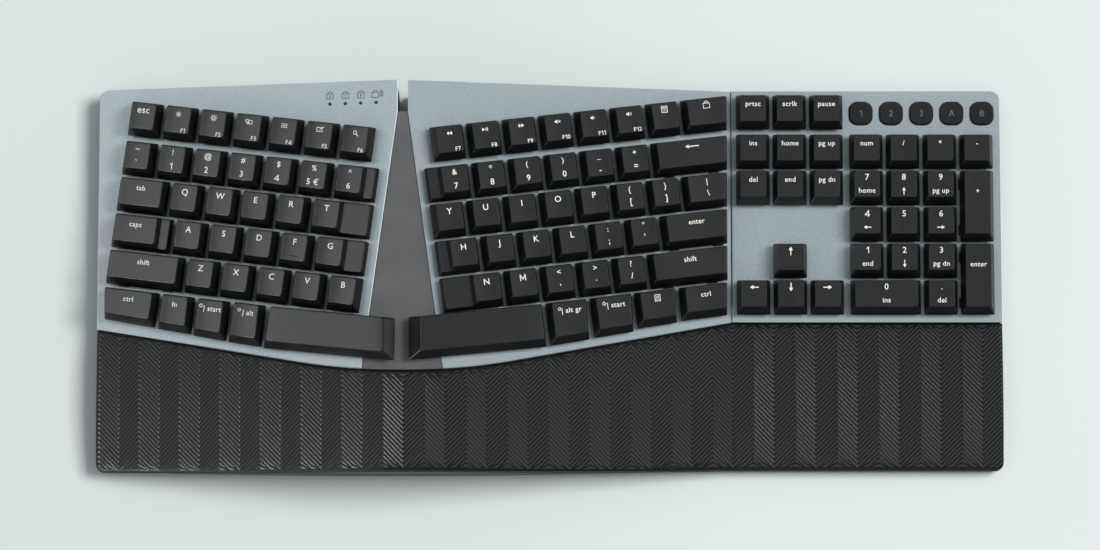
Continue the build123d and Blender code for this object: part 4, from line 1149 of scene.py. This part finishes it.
def pad_sheet(xs):
    """The pad's ribbed top: points, each point's place in the rib, and a grid of their numbers."""
    step = pad_rib_period / pad_rib_rows
    start = front_crest_y - pad_rib_band - pad_rib_period
    count = int((rear_edge(half_width) - start) / step) + 2
    points, ribs, grid = [], [], []
    for x in xs:
        low = front_edge(x) + pad_round
        over = abs(x) - (pad_ends - pad_inner_corner)
        if over > 0:
            low += pad_inner_corner - sqrt(max(0.0, pad_inner_corner ** 2 - over ** 2))
        high = rear_edge(x) - pad_round
        column = []
        last = None
        for k in range(count):
            y = min(max(start + k * step + zigzag(x), low), high)
            if last is None or y - last > least_point_gap:
                wave = (1 - cos(2 * pi * k / pad_rib_rows)) / 2
                near = min(y - low, high - y, pad_ends - abs(x)) / pad_rib_fade
                rib = wave * min(1.0, max(0.0, near))
                points.append((x, y, tent(x) + pad_rise(y) - pad_rib_depth * (1 - rib)))
                ribs.append(rib)
                last = y
            column.append(len(points) - 1)
        grid.append(column)
    return points, ribs, grid


def sheet_faces(grid):
    """Faces between the columns of the ribbed top, without repeats of a point."""
    faces = []
    for left, right in zip(grid, grid[1:]):
        for k in range(len(left) - 1):
            face = tuple(dict.fromkeys((left[k], right[k], right[k + 1], left[k + 1])))
            if len(face) > 2:
                faces.append(face)
    return faces


def grow_loop(points, loop, reach):
    """The loop's points moved outwards in plan."""
    grown = []
    for i, number in enumerate(loop):
        here = Vector(points[number][:2])
        before = here - Vector(points[loop[i - 1]][:2])
        after = Vector(points[loop[(i + 1) % len(loop)]][:2]) - here
        normals = [Vector((d.y, -d.x)).normalized() for d in (before, after)]
        middle = (normals[0] + normals[1]).normalized()
        grown.append(here + middle * (reach / max(least_miter, middle.dot(normals[0]))))
    return grown


def add_rim(points, faces, loop):
    """The rounded rim and the wall below a loop of points. Gives the numbers of the lowest ring."""
    angles = [radians(90 * k / pad_round_steps) for k in range(1, pad_round_steps + 1)]
    rim = [(pad_round * sin(a), pad_round * (1 - cos(a))) for a in angles]
    rim += [(pad_round, pad_round + pad_wall_drop), (pad_round - pad_drawn_in, None)]
    ring = loop
    for reach, drop in rim:
        fresh = [len(points) + i for i in range(len(loop))]
        for number, place in zip(loop, grow_loop(points, loop, reach)):
            z = tent(place.x) - pad_underside if drop is None else points[number][2] - drop
            points.append((place.x, place.y, z))
        for i in range(len(loop)):
            j = (i + 1) % len(loop)
            faces.append((ring[i], fresh[i], fresh[j], ring[j]))
        ring = fresh
    return ring


def build_pad():
    """The padded palm rest: a crowned top with pressed zigzag ribs, a round rim and a flat underside."""
    points, ribs, grid = pad_sheet(pad_columns())
    faces = sheet_faces(grid)
    front = [column[0] for column in grid]
    rear = [column[-1] for column in grid]
    left_side, right_side = [list(dict.fromkeys(column)) for column in (grid[0], grid[-1])]
    loop = front + right_side[1:] + rear[::-1][1:] + left_side[::-1][1:-1]
    at = dict(zip(loop, add_rim(points, faces, loop)))
    ribs += [0.0] * (len(points) - len(ribs))
    for i in range(1, len(grid) - 2):
        faces.append((at[front[i]], at[rear[i]], at[rear[i + 1]], at[front[i + 1]]))
    faces.append(tuple([at[n] for n in left_side] + [at[rear[1]], at[front[1]]]))
    faces.append(tuple([at[n] for n in right_side[::-1]] + [at[front[-2]], at[rear[-2]]]))
    made = mesh_object("padded_palm_rest", points, faces, ["pad_skin"])
    # The rib attribute places the pad skin's painted light on the rib crowns, and its painted shade in
    # the grooves and on the rim.
    layer = made.data.attributes.new("rib", "FLOAT", "POINT")
    layer.data.foreach_set("value", ribs)
    made.data.set_sharp_from_angle(angle=radians(pad_sharp_angle))
    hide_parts("palm_rest_pad")
    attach(made, "case")


build_pad()


# CAD nodes that keep their shape and get a finish
blocks = ("left", "right", "number_pad")
finishes = {
    "case_plastic": ["bottom_case", "palm_rest_board"],
    "plate_metal": [f"{block}_top_plate" for block in blocks],
    "bridge_plastic": ["centre_bridge"],
    "switch_plastic": [f"{block}_switch_housings" for block in blocks],
    "steel": ["case_screws", "foot_hinge_pins", "charging_socket"],
    "board_mask": ["controller_board"] + [f"{block}_circuit_board" for block in blocks],
    "ribbon_film": ["ribbon_cables"],
    "battery_film": ["battery_pack"],
    "rubber": ["rubber_feet"],
    "light_glass": ["indicator_light_pipes"],
    "foot_plastic": ["left_fold_out_foot", "right_fold_out_foot"],
    "button_plastic": ["power_slider"] + [f"mode_button_{i + 1}" for i in range(len(button_marks))],
}
for surface, names in finishes.items():
    for name in names:
        materials = nodes[name].data.materials
        materials.clear()
        materials.append(surfaces[surface])


# Floor, light and camera
def floor():
    """A plain pale floor that runs past the picture."""
    material, tree, shader = new_material("floor_paint")
    tone = ramp(tree, noise(tree, 3.0), (0.70, 0.745, 0.74), (0.72, 0.765, 0.76))
    dress(tree, shader, tone, 0.9, specular=0.1)
    surfaces["floor_paint"] = material
    places = [(x * floor_half, y * floor_half, 0) for x, y in ((-1, -1), (1, -1), (1, 1), (-1, 1))]
    made = mesh_object("floor", places, [(0, 1, 2, 3)], ["floor_paint"], smooth=False)


def area_light(name, place, size, power, reflected=True):
    """A soft lamp aimed at the object. It shows in reflections alone, or it lights and doesn't show."""
    data = bpy.data.lights.new(name, "AREA")
    data.shape = "RECTANGLE"
    data.size, data.size_y = size
    data.energy = power
    made = placed(name, data)
    made.location = place
    made.rotation_euler = (-Vector(place)).to_track_quat("-Z", "Y").to_euler()
    made.visible_glossy = reflected
    made.visible_diffuse = not reflected
    made.visible_camera = False


def camera():
    """The camera of the picture: nearly overhead, a little in front, with a long lens."""
    pitch = radians(camera_pitch)
    data = bpy.data.cameras.new("camera")
    data.lens = camera_lens
    data.sensor_width = 36.0
    data.clip_end = 50.0
    made = placed("camera", data)
    made.location = Vector(camera_target) + camera_distance * Vector((0.0, -sin(pitch), cos(pitch)))
    made.rotation_euler = (pitch, 0.0, 0.0)
    bpy.context.scene.camera = made


def studio():
    """A dim even sky, and a pale background for the camera."""
    world = bpy.data.worlds.new("studio")
    world.use_nodes = True
    tree = world.node_tree
    height = upward(tree, add_node(tree, "TexCoord").outputs["Generated"])
    seen = add_node(tree, "LightPath").outputs["Is Camera Ray"]
    sky = ramp(tree, height, sky_low, sky_high, low=0.0, high=0.9)
    join(tree, tree.nodes["Background"].inputs["Color"], mixed(tree, seen, sky, backdrop))
    bpy.context.scene.world = world


floor()
area_light("softbox", (2.72, 0.72, 3.86), (2.0, 2.0), 203.0, reflected=False)
area_light("left_reflector", (-1.72, 0.3, 1.95), (0.62, 1.9), 11.5)
area_light("front_left_edge", (-1.5, -1.4, 1.15), (0.45, 0.45), 34.0)
area_light("right_edge", (1.9, 0.2, 0.95), (0.4, 0.6), 10.0)
studio()
camera()
bpy.context.scene.view_settings.view_transform = "Standard"
